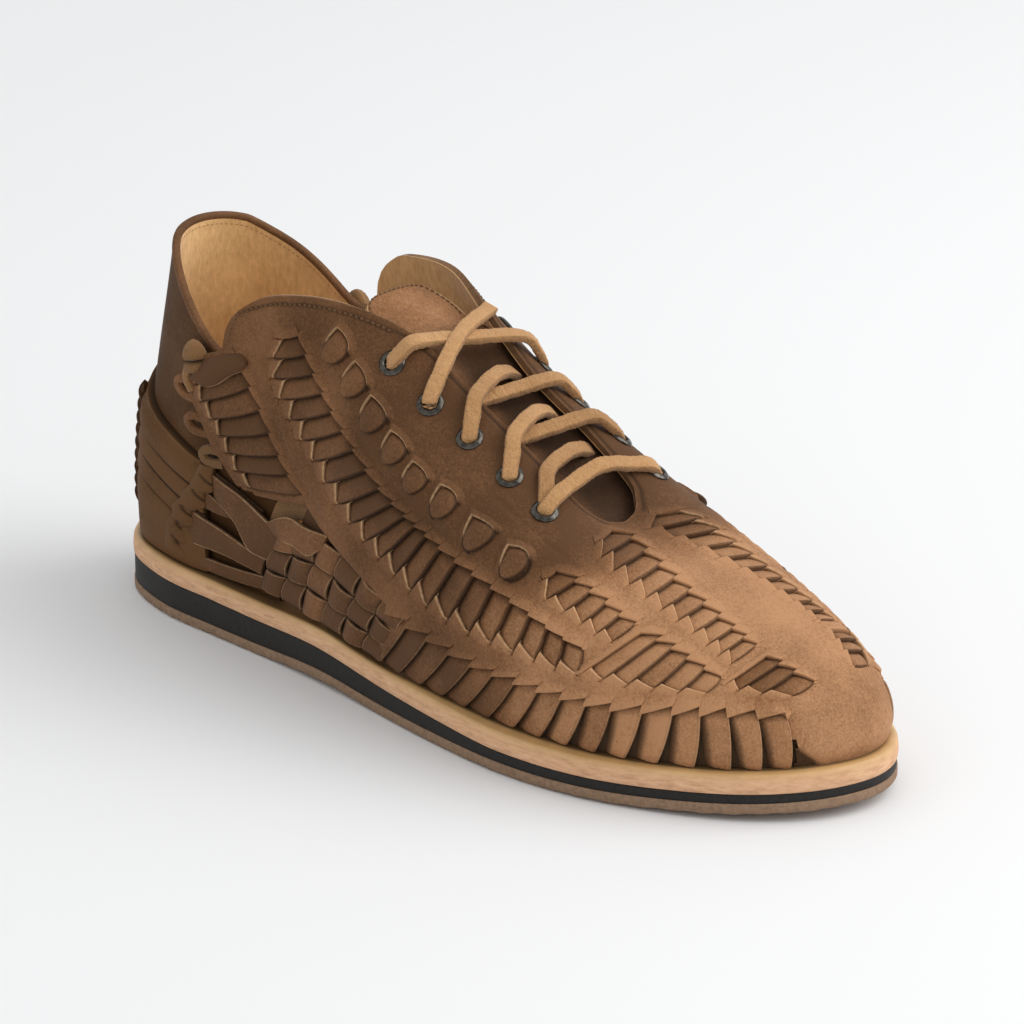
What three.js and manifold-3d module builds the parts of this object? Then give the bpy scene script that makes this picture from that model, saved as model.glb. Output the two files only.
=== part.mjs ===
// Woven leather lace-up huarache boot, one right shoe, in millimetres with +Z up.
// +X points to the toe, -Y is the lateral (outer) side and the floor is z = 0.
//
// Everything is placed by a ring position q and a height v on the last:
// q runs 0 (heel back) to 14 (toe) along the lateral side and on to 28 (heel back) along the medial side,
// v runs 0 (collar and throat edge) to 1 (feather line, where the wall meets the sole).

import * as THREE from 'three';
import Module from 'manifold-3d';

const wasm = await Module();
wasm.setup();

// Driving sizes
const GAP = 0.3;            // clearance between pieces that touch
const SOLE_LENGTH = 300;
const OUTSOLE = 3.7;        // tan rubber outsole
const OUTSOLE_BEVEL = 0.9;
const LEATHER = 6.1;        // natural leather runner that shows as a light stripe
const LEATHER_ROUND = 1.4;  // rounded top edge of the runner
const INSOLE = 2.4;
const INSOLE_INSET = 4.6;   // how far the insole stays inside the feather line
const HEEL_FLAT = [14, 78]; // x range of the heel's flat spot
const BALL_FLAT = [150, 212];
const HEEL_LIFT = 1.1;      // rise of the underside at the very back
const TOE_SPRING = 3.6;
const ARCH_RISE = 1.2;
const WALL_IN = -0.1;       // inner face of the woven wall, measured out from the last
const WALL_OUT = 1.9;       // outer face of the woven wall before its strips are raised
const COUNTER_OUT = -1.4;   // outer face of the heel counter, which lies under the weave
const COUNTER_IN = -3.5;
const STRIPS = 26;          // woven strips from each rear edge to the toe
const LACE = 3.6;           // width of the square leather thong

// Black rubber midsole: a wedge, thick under the heel
const WEDGE = [
  // x, thickness
  [0, 8.7], [60, 8.4], [110, 7.2], [160, 5.2], [200, 3.4], [300, 2.7],
];

// One row for each section of the last, from heel back to toe.
// rim: edge of the sole, feather: foot of the wall, top: collar and throat edge.
const COLUMNS = ['rimX', 'rimLat', 'rimMed', 'footX', 'footLat', 'footMed',
  'topX', 'topHalf', 'topZ', 'drop', 'reach', 'rise', 'flare'];
const SECTIONS = [
  [0, 0, 0, 4.5, 0, 0, 16, 0, 120.5, 80, 30, 34, 4],
  [4, 15.8, 15.2, 9, 15, 14.5, 19, 12, 119.5, 82, 30, 34, 4],
  [16, 28.5, 27.5, 20, 25.5, 25, 27.5, 21.5, 116.5, 84, 30, 34, 5],
  [38, 36, 34, 40, 31, 30, 43, 29.5, 112.5, 87, 30, 34, 5],
  [62, 37.7, 35, 62, 33, 31, 62, 31.7, 108, 88, 30, 34, 5],
  [86, 39, 35, 85, 34.5, 30.5, 84, 27.2, 115.6, 84, 30, 34, 6],
  [112, 41.5, 35, 110, 37.5, 30.5, 108, 22.5, 117.5, 72, 30, 34, 7],
  [140, 45.3, 37, 138, 41.5, 32, 130, 15, 110, 40, 30, 34, 8],
  [170, 49.8, 41.5, 168, 44, 36.5, 153, 12.3, 95.5, 25, 30, 32, 9],
  [203, 52.5, 47.3, 200, 45, 41, 177, 12.3, 83, 20, 30, 30, 9],
  [233, 49, 49, 229, 42.5, 42.5, 194, 12, 72.5, 16, 32, 28, 9],
  [259, 39.5, 44.5, 254, 35, 39.5, 199, 10, 68.5, 14, 36, 26, 9],
  [281, 26.5, 35, 275, 23.5, 33, 202, 7, 66, 14, 40, 25, 9],
  [295, 10.5, 22, 289, 8, 22.5, 203.3, 3.5, 64.8, 14, 43, 25, 9],
  [300, -7, 7, 294, -7.5, 7.5, 204, 0, 64.3, 14, 45, 25, 9],
];
const TOE = SECTIONS.length - 1;
const ROUND = 2 * TOE;

const rad = THREE.MathUtils.degToRad;
const lerp = THREE.MathUtils.lerp;

// Straight-line value of a two-column table
function along(table, x, column = 1) {
  const k = table.findIndex((row) => row[0] >= x);
  if (k === -1) return table[table.length - 1][column];
  if (k === 0) return table[0][column];
  const [a, b] = [table[k - 1], table[k]];
  return lerp(a[column], b[column], (x - a[0]) / (b[0] - a[0]));
}

// The sections set round in a ring: lateral rows heel to toe, then medial rows toe to heel
const RING = [];
for (let k = 0; k < ROUND; k += 1) {
  const lateral = k <= TOE;
  const row = SECTIONS[lateral ? k : ROUND - k];
  const s = Object.fromEntries(COLUMNS.map((name, i) => [name, row[i]]));
  const side = lateral ? -1 : 1;
  const rimY = side * (lateral ? s.rimLat : s.rimMed);
  const footY = side * (lateral ? s.footLat : s.footMed);
  const topY = side * s.topHalf;
  RING.push([s.rimX, rimY, s.footX, footY, s.topX, topY, s.topZ, s.drop, s.reach, s.rise, s.flare]);
}

// Smooth section at any ring position, by a Catmull-Rom curve through the rows
function section(q) {
  const base = Math.floor(q);
  const t = q - base;
  const [a, b, c, d] = [-1, 0, 1, 2].map((k) => RING[(((base + k) % ROUND) + ROUND) % ROUND]);
  return b.map((_, i) => {
    const square = 2 * a[i] - 5 * b[i] + 4 * c[i] - d[i];
    const cube = 3 * b[i] - 3 * c[i] + d[i] - a[i];
    return b[i] + 0.5 * t * (c[i] - a[i] + t * (square + t * cube));
  });
}

// Height of the sole's underside: flat heel, low arch, flat ball, toe spring
function soleBottom(x) {
  if (x < HEEL_FLAT[0]) return HEEL_LIFT * ((HEEL_FLAT[0] - x) / HEEL_FLAT[0]) ** 2;
  if (x > HEEL_FLAT[1] && x < BALL_FLAT[0]) {
    return ARCH_RISE * Math.sin(Math.PI * (x - HEEL_FLAT[1]) / (BALL_FLAT[0] - HEEL_FLAT[1])) ** 2;
  }
  if (x > BALL_FLAT[1]) return TOE_SPRING * ((x - BALL_FLAT[1]) / (SOLE_LENGTH - BALL_FLAT[1])) ** 2;
  return 0;
}
const wedgeTop = (x) => soleBottom(x) + OUTSOLE + along(WEDGE, x);
const soleTop = (x) => wedgeTop(x) + LEATHER;

// Outward plan direction of an outline whose x and y sit in two columns of the ring
function outward(q, column) {
  const [a, b] = [section(q - 0.01), section(q + 0.01)];
  const n = new THREE.Vector2(b[column + 1] - a[column + 1], a[column] - b[column]);
  return n.normalize();
}

// Point of the last's own surface: a cubic curve from the top edge to the feather line
function last(q, v) {
  const [, , footX, footY, topX, topY, topZ, drop, reach, rise, flare] = section(q);
  const out = outward(q, 2);
  const foot = new THREE.Vector3(footX, footY, soleTop(footX) + 1.5 * GAP);
  const top = new THREE.Vector3(topX, topY, topZ);
  const over = new THREE.Vector2(footX - topX, footY - topY).addScaledVector(out, 20).normalize();
  const h1 = new THREE.Vector3(over.x, over.y, 0).multiplyScalar(reach * Math.cos(rad(drop))).add(top);
  h1.z -= reach * Math.sin(rad(drop));
  const h2 = new THREE.Vector3(out.x, out.y, 0).multiplyScalar(rise * Math.sin(rad(flare))).add(foot);
  h2.z += rise * Math.cos(rad(flare));
  return new THREE.CubicBezierCurve3(top, h1, h2, foot).getPoint(v);
}

// Point at a distance out from the last's surface; the foot stays level on the sole
function wall(q, v, out) {
  const [v0, v1] = [Math.max(v - 0.002, 0), Math.min(v + 0.002, 1)];
  const alongRing = last(q + 0.01, v).sub(last(q - 0.01, v));
  const normal = last(q, v1).sub(last(q, v0)).cross(alongRing).normalize();
  if (v > 0.999) normal.setZ(0).normalize();
  return last(q, v).addScaledVector(normal, out);
}

// Mesh data collected face by face
class Builder {
  constructor() {
    this.points = [];
    this.faces = [];
  }

  point(p) {
    this.points.push(p.x, p.y, p.z);
    return this.points.length / 3 - 1;
  }

  tri(a, b, c) {
    if (a !== b && b !== c && a !== c) this.faces.push(a, b, c);
  }

  quad(a, b, c, d) {
    this.tri(a, b, c);
    this.tri(a, c, d);
  }

  // Joins two edges with different numbers of points, [place, id] pairs in rising place
  zip(a, b) {
    let [i, j] = [0, 0];
    while (i < a.length - 1 || j < b.length - 1) {
      const nextA = i < a.length - 1 ? a[i + 1][0] : Infinity;
      const nextB = j < b.length - 1 ? b[j + 1][0] : Infinity;
      if (nextA <= nextB) {
        this.tri(a[i][1], a[i + 1][1], b[j][1]);
        i += 1;
      } else {
        this.tri(a[i][1], b[j + 1][1], b[j][1]);
        j += 1;
      }
    }
  }

  solid() {
    const body = new wasm.Manifold(new wasm.Mesh({
      numProp: 3,
      vertProperties: new Float32Array(this.points),
      triVerts: new Uint32Array(this.faces),
    }));
    return body.volume() < 0 ? this.flipped() : body;
  }

  flipped() {
    const turned = new Builder();
    turned.points = this.points;
    for (let k = 0; k < this.faces.length; k += 3) {
      const [a, b, c] = this.faces.slice(k, k + 3);
      turned.faces.push(a, c, b);
    }
    return turned.solid();
  }
}

// A layer of the sole or the insole: levels of [inset, height at x] from the bottom up
function slab(levels, column, steps = 2) {
  const b = new Builder();
  const count = ROUND * steps;
  const rings = levels.map(([inset, height]) => Array.from({ length: count }, (_, k) => {
    const q = k / steps;
    const s = section(q);
    const n = outward(q, column);
    const x = s[column] - n.x * inset;
    return b.point(new THREE.Vector3(x, s[column + 1] - n.y * inset, height(s[column])));
  }));
  for (let r = 0; r < rings.length - 1; r += 1) {
    for (let k = 0; k < count; k += 1) {
      const n = (k + 1) % count;
      b.quad(rings[r][k], rings[r][n], rings[r + 1][n], rings[r + 1][k]);
    }
  }
  const [low, high] = [rings[0], rings[rings.length - 1]];
  for (let k = 0; k < count / 2; k += 1) {
    const [a, c, d, e] = [k, k + 1, (count - k - 1) % count, (count - k) % count];
    b.quad(low[a], low[e], low[d], low[c]);
    b.quad(high[a], high[c], high[d], high[e]);
  }
  return b.solid();
}

// A curved wall between an outer grid and a coarser inner grid, open only where its edges run.
// columns and rows are the grid places; every innerStep-th column is used inside.
function sheet({ columns, outerRows, innerRows, innerStep, outer, inner }) {
  const b = new Builder();
  const innerColumns = columns.filter((_, i) => i % innerStep === 0 || i === columns.length - 1);
  const out = columns.map((c, i) => outerRows.map((r, j) => b.point(outer(c, r, i, j))));
  const inn = innerColumns.map((c) => innerRows.map((r) => b.point(inner(c, r))));
  for (const [grid, turned] of [[out, false], [inn, true]]) {
    for (let i = 0; i < grid.length - 1; i += 1) {
      for (let j = 0; j < grid[0].length - 1; j += 1) {
        const corners = [grid[i][j], grid[i + 1][j], grid[i + 1][j + 1], grid[i][j + 1]];
        b.quad(...(turned ? corners.reverse() : corners));
      }
    }
  }
  const edge = (grid, places, row) => places.map((c, i) => [c, grid[i][row]]);
  const side = (grid, rows, column) => rows.map((r, j) => [r, grid[column][j]]);
  b.zip(edge(inn, innerColumns, 0), edge(out, columns, 0));
  b.zip(edge(out, columns, outerRows.length - 1), edge(inn, innerColumns, innerRows.length - 1));
  b.zip(side(out, outerRows, 0), side(inn, innerRows, 0));
  b.zip(side(inn, innerRows, innerColumns.length - 1), side(out, outerRows, columns.length - 1));
  return b.solid();
}

const range = (from, to, count) => Array.from({ length: count + 1 }, (_, k) => lerp(from, to, k / count));

// Sole layers
const outsole = slab([
  [OUTSOLE_BEVEL, soleBottom],
  [0, (x) => soleBottom(x) + OUTSOLE_BEVEL],
  [0, (x) => soleBottom(x) + OUTSOLE - GAP],
], 0);
const midsole = slab([
  [0.3, (x) => soleBottom(x) + OUTSOLE],
  [0.3, (x) => wedgeTop(x) - GAP],
], 0);
const runner = slab([
  [0, wedgeTop],
  [-0.2, (x) => wedgeTop(x) + 2],
  [0, (x) => soleTop(x) - LEATHER_ROUND],
  [LEATHER_ROUND, soleTop],
], 0);
const insole = slab([
  [INSOLE_INSET, (x) => soleTop(x) + GAP],
  [INSOLE_INSET, (x) => soleTop(x) + GAP + INSOLE],
], 2);

// Rear edge of the woven quarter: ring position at each height
const REAR_EDGE = [
  // v, q
  [0, 4.75], [0.03, 4.4], [0.06, 4.22], [0.15, 4.15], [0.22, 3.64], [0.36, 3.6], [0.47, 3.85], [0.57, 4.18],
  [0.66, 4.6], [0.8, 5.0], [1, 5.3],
];
const rearEdge = (v) => along(REAR_EDGE, v);

// Rows of the weave on each side: heights of the band edges at ring positions from the heel to the toe.
// The strips stand up between pebbleTop and pebbleFoot, between ladderTop and ladderFoot,
// and from stripTop down to the sole.
const WEAVE = [
  // q, pebbleTop, pebbleFoot, ladderTop, ladderFoot, stripTop
  [3.6, 0.06, 0.15, 0.22, 0.36, 0.5],
  [4.6, 0.06, 0.15, 0.22, 0.36, 0.5],
  [5, 0.06, 0.13, 0.19, 0.36, 0.52],
  [6, 0.09, 0.19, 0.25, 0.5, 0.64],
  [7, 0.25, 0.35, 0.44, 0.65, 0.75],
  [8, 0.32, 0.43, 0.49, 0.725, 0.86],
  [9, 0.34, 0.45, 0.55, 0.725, 0.8],
  [10, 0.31, 0.5, 0.58, 0.703, 0.778],
  [11, 0.1, 0.26, 0.4, 0.695, 0.76],
  [12, 0.08, 0.44, 0.58, 0.695, 0.748],
  [12.7, 0.12, 0.5, 0.6, 0.72, 0.79],
  [14, 0.2, 0.4, 0.55, 0.7, 0.85],
];

// Lines of the outer wall from the top edge down:
// [weave column before, weave column after, share between, relief]
const LINES = [
  [0, 0, 0, 'edge'], [0, 1, 0.5, 'plain'], [1, 1, 0, 'band'], [1, 2, 0.5, 'strip'], [2, 2, 0, 'band'],
  [3, 3, 0, 'band'], [3, 4, 0.5, 'strip'], [4, 4, 0, 'band'], [5, 5, 0, 'band'], [5, 6, 0.45, 'strip'],
  [6, 6, 0, 'foot'],
];
const RELIEF = { edge: 0.2, plain: 0.3, band: 0.8, strip: 1.7, foot: 1.0 };
const TOE_CAP = 12.6; // ring position where the plain toe cap begins

const foldedRing = (q) => (q <= TOE ? q : ROUND - q);

// Place on the woven wall: c runs 0 (lateral rear edge) to 2 (medial rear edge), 1 at the toe
function wovenPlace(c, lineIndex) {
  const [before, after, share] = LINES[lineIndex];
  const half = c <= 1 ? c : 2 - c;
  let v = lineIndex / (LINES.length - 1);
  let q = 0;
  for (let pass = 0; pass < 12; pass += 1) {
    q = lerp(rearEdge(v), TOE, half);
    const bound = (column) => (column === 0 ? 0 : column === 6 ? 1 : along(WEAVE, q, column));
    v = lerp(v, lerp(bound(before), bound(after), share), 0.6);
  }
  if (lineIndex === 0) v = 0;
  if (lineIndex === LINES.length - 1) v = 1;
  q = lerp(rearEdge(v), TOE, half);
  return [c <= 1 ? q : ROUND - q, v];
}

// Each strip has three columns: the groove before it, its high edge and its low edge
const SHINGLE = [
  // share of the strip, rise above or below its row
  [0, -1.5], [0.16, 0.5], [0.86, -0.3],
];
const stripColumns = (k) => SHINGLE.map(([share]) => (k + share) / STRIPS);
const lateralColumns = Array.from({ length: STRIPS }, (_, k) => stripColumns(k)).flat();
const wovenColumns = [...lateralColumns, 1, ...lateralColumns.map((c) => 2 - c).reverse()];
const wovenOuter = (c, r, i, j) => {
  const [q, v] = wovenPlace(c, j);
  const kind = LINES[j][3];
  const column = Math.min(i, wovenColumns.length - 1 - i) % SHINGLE.length;
  const capped = foldedRing(q) > TOE_CAP && v > 0.3;
  if (capped) return wall(q, v, WALL_OUT + RELIEF.band);
  const shingled = { strip: SHINGLE[column][1], foot: Math.max(SHINGLE[column][1], -0.9) }[kind] ?? 0;
  return wall(q, v, WALL_OUT + RELIEF[kind] + shingled);
};
const wovenInner = (c, r) => wall(...wovenPlace(c, Math.round(r * (LINES.length - 1))), WALL_IN);

let upper = sheet({
  columns: wovenColumns,
  outerRows: range(0, 1, LINES.length - 1),
  innerRows: [0, 0.1, 0.2, 0.3, 0.4, 0.5, 0.6, 0.7, 0.8, 1],
  innerStep: 6,
  outer: wovenOuter,
  inner: wovenInner,
});

// Eyelets: five each side, in pairs, numbered from the top
const EYELETS = [
  // q, v
  [6.95, 0.118], [7.6, 0.145], [8.23, 0.14], [8.88, 0.148], [9.52, 0.16],
];
const EYELET = { flange: 4.3, barrel: 2.8, bore: 2.1, lip: 1.1 };
const SEAT = WALL_OUT + 1.0; // face that the flange rests on, measured out from the last

const mirrored = (q, side) => (side < 0 ? q : ROUND - q);

function normalFrame(q, v) {
  const origin = wall(q, v, 0);
  const z = wall(q, v, 1).sub(origin).normalize();
  const x = last(q + 0.05, v).sub(last(q - 0.05, v)).normalize();
  const y = z.clone().cross(x).normalize();
  x.copy(y).cross(z);
  return new THREE.Matrix4().makeBasis(x, y, z).setPosition(origin);
}

// A three.js geometry as a solid, moved by a matrix
function solidOf(geometry, matrix = new THREE.Matrix4()) {
  const b = new Builder();
  const plain = geometry.index ? geometry.toNonIndexed() : geometry;
  const position = plain.applyMatrix4(matrix).getAttribute('position');
  const known = new Map();
  const id = (k) => {
    const p = new THREE.Vector3().fromBufferAttribute(position, k);
    const key = p.toArray().map((n) => Math.round(n * 1e4)).join(' ');
    if (!known.has(key)) known.set(key, b.point(p));
    return known.get(key);
  };
  for (let k = 0; k < position.count; k += 3) b.tri(id(k), id(k + 1), id(k + 2));
  return b.solid();
}

function eyelet(q, v) {
  const { flange, barrel, bore, lip } = EYELET;
  const profile = [[bore, WALL_IN], [barrel, WALL_IN], [barrel, SEAT + GAP], [flange, SEAT + GAP],
    [flange - 0.9, SEAT + GAP + lip], [bore, SEAT + GAP + lip * 0.7], [bore, WALL_IN]];
  const ring = new THREE.LatheGeometry(profile.map(([r, z]) => new THREE.Vector2(r, z)), 8);
  ring.rotateX(Math.PI / 2);
  return solidOf(ring, normalFrame(q, v));
}

function punch(q, v, radius) {
  const pin = new THREE.CylinderGeometry(radius, radius, 16, 10);
  pin.rotateX(Math.PI / 2);
  return solidOf(pin, normalFrame(q, v));
}

// Gaps of the weave that show the dark inside: [q at the middle, v at the top, v at the foot, width]
const GAPS = [
  // side holes between the heel fan and the plait
  [5.22, 0.6, 0.7, 7], [5.75, 0.655, 0.72, 5],
  // slits between the strips along the toe
  [10.22, 0.85, 0.97, 1.6], [10.78, 0.82, 0.97, 2.2], [11.34, 0.82, 0.97, 2.4], [11.9, 0.84, 0.97, 2.4],
  [12.46, 0.84, 0.97, 2.4],
];
const SLIT_REACH = [-3, 7]; // cut from inside the wall to outside it
function slit([q, top, foot, width], side) {
  const ring = mirrored(q, side);
  const b = new Builder();
  const across = new THREE.Vector3().setFromMatrixColumn(normalFrame(ring, (top + foot) / 2), 0);
  const corner = (v, offset, out) => b.point(wall(ring, v, out).addScaledVector(across, offset));
  const edges = (v, half) => [-half, half].map((offset) => SLIT_REACH.map((out) => corner(v, offset, out)));
  const [a, c] = edges(top, 0.35 * width);
  const [d, e] = edges(foot, 0.5 * width);
  b.quad(a[0], c[0], e[0], d[0]);
  b.quad(a[1], d[1], e[1], c[1]);
  b.quad(a[0], a[1], c[1], c[0]);
  b.quad(d[0], e[0], e[1], d[1]);
  b.quad(a[0], d[0], d[1], a[1]);
  b.quad(c[0], c[1], e[1], e[0]);
  return b.solid();
}
for (const side of [-1, 1]) {
  for (const [q, v] of EYELETS) upper = upper.subtract(punch(mirrored(q, side), v, EYELET.barrel + GAP));
  for (const gap of GAPS) upper = upper.subtract(slit(gap, side));
}

// Heel counter: the tall smooth back, running on under the quarters
const COUNTER_TOP = [
  // distance from the heel back in q, v
  [0, 0], [1.6, 0.004], [2.5, 0.05], [3.2, 0.115], [3.75, 0.165], [4.3, 0.2], [5.15, 0.28],
];
const COUNTER_END = 5.15;
const counterPlace = (c, r) => [c, lerp(along(COUNTER_TOP, Math.abs(c)), 1, r)];
const counter = sheet({
  columns: range(-COUNTER_END, COUNTER_END, 36),
  outerRows: range(0, 1, 7),
  innerRows: range(0, 1, 4),
  innerStep: 2,
  outer: (c, r) => wall(...counterPlace(c, r), COUNTER_OUT),
  inner: (c, r) => wall(...counterPlace(c, r), COUNTER_IN),
});

// Heel band: four strips wound round the lower heel, each laid over the one below
const BAND_STRIPS = 4;
const BAND_RELIEF = [1.6, 3.2]; // high edge and low edge of each strip, measured out from the last
const bandRows = range(0, BAND_STRIPS - 1, BAND_STRIPS - 1)
  .flatMap((k) => [k / BAND_STRIPS, (k + 0.93) / BAND_STRIPS]).concat(1);
const bandTop = (c) => 0.47 + 0.19 * c * c;
const bandPlace = (c, r) => {
  const v = lerp(bandTop(c), 0.995, r);
  return [c * (rearEdge(v) - 0.3), v];
};
const band = sheet({
  columns: range(-1, 1, 24),
  outerRows: bandRows,
  innerRows: range(0, 1, 6),
  innerStep: 1,
  outer: (c, r, i, j) => wall(...bandPlace(c, r), BAND_RELIEF[j % 2]),
  inner: (c, r) => wall(...bandPlace(c, r), COUNTER_OUT + 2 * GAP),
});

// Leather tie threaded down the rear edge of each quarter, knotted at the top
const TIE = { radius: 1.5, knot: 4.6, from: 0.25, to: 0.5, back: 0.3 };
function tie(side) {
  const path = range(TIE.from, TIE.to, 8).map((v, k) => {
    const sway = k % 2 === 0 ? 0.06 : -0.06;
    return wall(mirrored(rearEdge(v) - TIE.back + sway, side), v, COUNTER_OUT + 2 * GAP + TIE.radius);
  });
  const disc = new THREE.Shape().absarc(0, 0, TIE.radius, 0, 2 * Math.PI);
  const cord = new THREE.ExtrudeGeometry(disc, {
    steps: 14, curveSegments: 3, bevelEnabled: false, extrudePath: new THREE.CatmullRomCurve3(path),
  });
  const v = TIE.from - 0.02;
  const centre = wall(mirrored(rearEdge(v) - TIE.back, side), v, COUNTER_OUT + GAP + TIE.knot);
  const knot = new THREE.IcosahedronGeometry(TIE.knot, 1);
  return solidOf(cord).add(solidOf(knot, new THREE.Matrix4().setPosition(centre)));
}

// Tongue: bridges the throat under the eyestays and stands up between the quarters
const TONGUE = { out: -2.1, thick: 1.8, sink: 0.88, arch: 0.8, side: 0.28 };
const TONGUE_TOP = [
  // share of the way up past the throat, half width, height of the edges under the middle
  [0.33, 17, 2.6], [0.66, 14.5, 2.2], [0.92, 9.5, 1.2], [1, 5, 0.5],
];
const TONGUE_PEAK = new THREE.Vector3(115.5, 0, 119);
const ACROSS = [-1, -0.72, -0.45, 0, 0.45, 0.72, 1];
const UNDER_ROWS = 6;       // rows of the tongue that lie under the throat
const UNDER_FROM = 12.4;    // ring positions of the first and last of them
const UNDER_TO = 7.1;
const THROAT_EDGE = 0.45;   // share across where the tongue passes under the throat's edge
function tonguePoint(row, u, under) {
  if (row <= UNDER_ROWS) {
    const q = lerp(UNDER_FROM, UNDER_TO, row / UNDER_ROWS);
    const side = Math.sign(u) || -1;
    const depth = TONGUE.out - under;
    if (Math.abs(u) >= THROAT_EDGE) {
      const v = lerp(0.005, TONGUE.side, (Math.abs(u) - THROAT_EDGE) / (1 - THROAT_EDGE));
      return wall(mirrored(q, side), v, depth);
    }
    const crown = wall(q, 0.005, depth).add(wall(ROUND - q, 0.005, depth)).multiplyScalar(0.5);
    crown.z += row === 0 ? -TONGUE.sink : TONGUE.arch;
    return crown;
  }
  const [share, half, fall] = TONGUE_TOP[row - UNDER_ROWS - 1];
  const start = tonguePoint(UNDER_ROWS, 0, 0);
  const middle = start.clone().lerp(TONGUE_PEAK, share);
  const down = new THREE.Vector3(-0.45, 0, -0.89).multiplyScalar(under);
  return middle.add(new THREE.Vector3(0, u * half, -fall * u * u)).add(down);
}
const tongue = (() => {
  const b = new Builder();
  const end = UNDER_ROWS + TONGUE_TOP.length;
  const face = (under) => range(0, end, end).map((r) => ACROSS.map((u) => b.point(tonguePoint(r, u, under))));
  const [f, g] = [face(0), face(TONGUE.thick)];
  const edge = ACROSS.length - 1;
  for (let r = 0; r < end; r += 1) {
    for (let k = 0; k < edge; k += 1) {
      b.quad(f[r][k], f[r + 1][k], f[r + 1][k + 1], f[r][k + 1]);
      b.quad(g[r][k], g[r][k + 1], g[r + 1][k + 1], g[r + 1][k]);
    }
    b.quad(f[r][0], g[r][0], g[r + 1][0], f[r + 1][0]);
    b.quad(f[r][edge], f[r + 1][edge], g[r + 1][edge], g[r][edge]);
  }
  for (let k = 0; k < edge; k += 1) {
    b.quad(f[0][k], f[0][k + 1], g[0][k + 1], g[0][k]);
    b.quad(f[end][k], g[end][k], g[end][k + 1], f[end][k + 1]);
  }
  return b.solid();
})();

// Lace: a square thong between eyelets, clear above them
const LACE_OUT = SEAT + EYELET.lip + 3 * GAP + LACE * 0.75;
const over = (k, side, out = LACE_OUT) => wall(mirrored(EYELETS[k - 1][0], side), EYELETS[k - 1][1], out);
const throatEdge = (q, side, out) => wall(mirrored(q, side), 0.01, out);
function thong(points, steps = 14) {
  const h = LACE / 2;
  const corners = [[-h, -h], [h, -h], [h, h], [-h, h]];
  const square = new THREE.Shape(corners.map(([x, y]) => new THREE.Vector2(x, y)));
  return solidOf(new THREE.ExtrudeGeometry(square, {
    steps, bevelEnabled: false, extrudePath: new THREE.CatmullRomCurve3(points),
  }));
}
function midway(a, b, lift) {
  const p = a.clone().lerp(b, 0.5);
  return p.setZ(p.z + lift);
}

const laceBar = thong([over(5, -1), midway(over(5, -1), over(5, 1), 3.5), over(5, 1)]);
function crossing(k) {
  const strands = [-1, 1].map((side) => {
    const q = EYELETS[k - 1][0];
    const edge = throatEdge(q - 0.12, side, LACE_OUT - 0.6);
    const inner = throatEdge(q - 0.5, -side, 2.6);
    inner.y *= 0.42;
    return thong([over(k, side), edge, midway(edge, inner, 1), inner]);
  });
  return strands[0].add(strands[1]);
}
const topEdges = [throatEdge(7.15, -1, LACE_OUT + 1), throatEdge(7.5, 1, LACE_OUT + 1)];
const laceTop = thong([over(1, -1), topEdges[0], midway(...topEdges, 1.5), topEdges[1], over(2, 1)]);
const endStart = over(2, -1);
const endTip = throatEdge(7.0, 1, LACE_OUT + 2.5);
const laceEnd = thong([endStart, throatEdge(7.45, -1, LACE_OUT + 4), midway(endStart, endTip, 13), endTip]);

// Named pieces with their plain colours
const leatherBrown = new THREE.MeshStandardMaterial({ color: 0x7a5236, roughness: 0.8 });
const darkBrown = new THREE.MeshStandardMaterial({ color: 0x523a2b, roughness: 0.75 });
const tanLeather = new THREE.MeshStandardMaterial({ color: 0xb0814f, roughness: 0.8 });
const blackRubber = new THREE.MeshStandardMaterial({ color: 0x17150f, roughness: 0.85 });
const tanRubber = new THREE.MeshStandardMaterial({ color: 0x9a8468, roughness: 0.9 });
const gunmetal = new THREE.MeshStandardMaterial({ color: 0x4a4640, roughness: 0.3, metalness: 1 });

const pieces = [
  ['outsole', outsole, tanRubber],
  ['midsole', midsole, blackRubber],
  ['leather_runner', runner, tanLeather],
  ['insole', insole, tanLeather],
  ['upper', upper, leatherBrown],
  ['heel_counter', counter, darkBrown],
  ['heel_band', band, darkBrown],
  ['tongue', tongue, leatherBrown],
  ['tie_lateral', tie(-1), tanLeather],
  ['tie_medial', tie(1), tanLeather],
  ['lace_bar', laceBar, tanLeather],
  ['lace_cross_low', crossing(4), tanLeather],
  ['lace_cross_high', crossing(3), tanLeather],
  ['lace_top', laceTop, tanLeather],
  ['lace_end', laceEnd, tanLeather],
];
for (const [side, name] of [[-1, 'lateral'], [1, 'medial']]) {
  EYELETS.forEach(([q, v], k) => {
    pieces.push([`eyelet_${name}_${k + 1}`, eyelet(mirrored(q, side), v), gunmetal]);
  });
}

const boot = new THREE.Group();
boot.name = 'huarache_boot';
for (const [name, solid, material] of pieces) {
  const { vertProperties, triVerts } = solid.getMesh();
  const geometry = new THREE.BufferGeometry();
  geometry.setAttribute('position', new THREE.BufferAttribute(new Float32Array(vertProperties), 3));
  geometry.setIndex(new THREE.BufferAttribute(new Uint32Array(triVerts), 1));
  geometry.computeVertexNormals();
  const mesh = new THREE.Mesh(geometry, material);
  mesh.name = name;
  boot.add(mesh);
}

// The frame's origin is on the floor, under the middle of the boot's box
const box = new THREE.Box3().setFromObject(boot);
const centre = box.getCenter(new THREE.Vector3());
for (const mesh of boot.children) mesh.geometry.translate(-centre.x, -centre.y, -box.min.z);

export default boot;
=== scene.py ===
"""Looks of a right, ankle-high woven leather boot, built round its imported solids.

Sizes are millimetres in the maker's frame: x from the heel back (0) to the toe (300), -y to the
lateral side, z up from the floor. A place on the upper is (q, v): q runs from 0 at the heel back to
14 at the toe along the lateral side and on to 28 along the medial side; v runs from 0 at the collar
and throat edge to 1 at the feather line.
"""

import math

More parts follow.
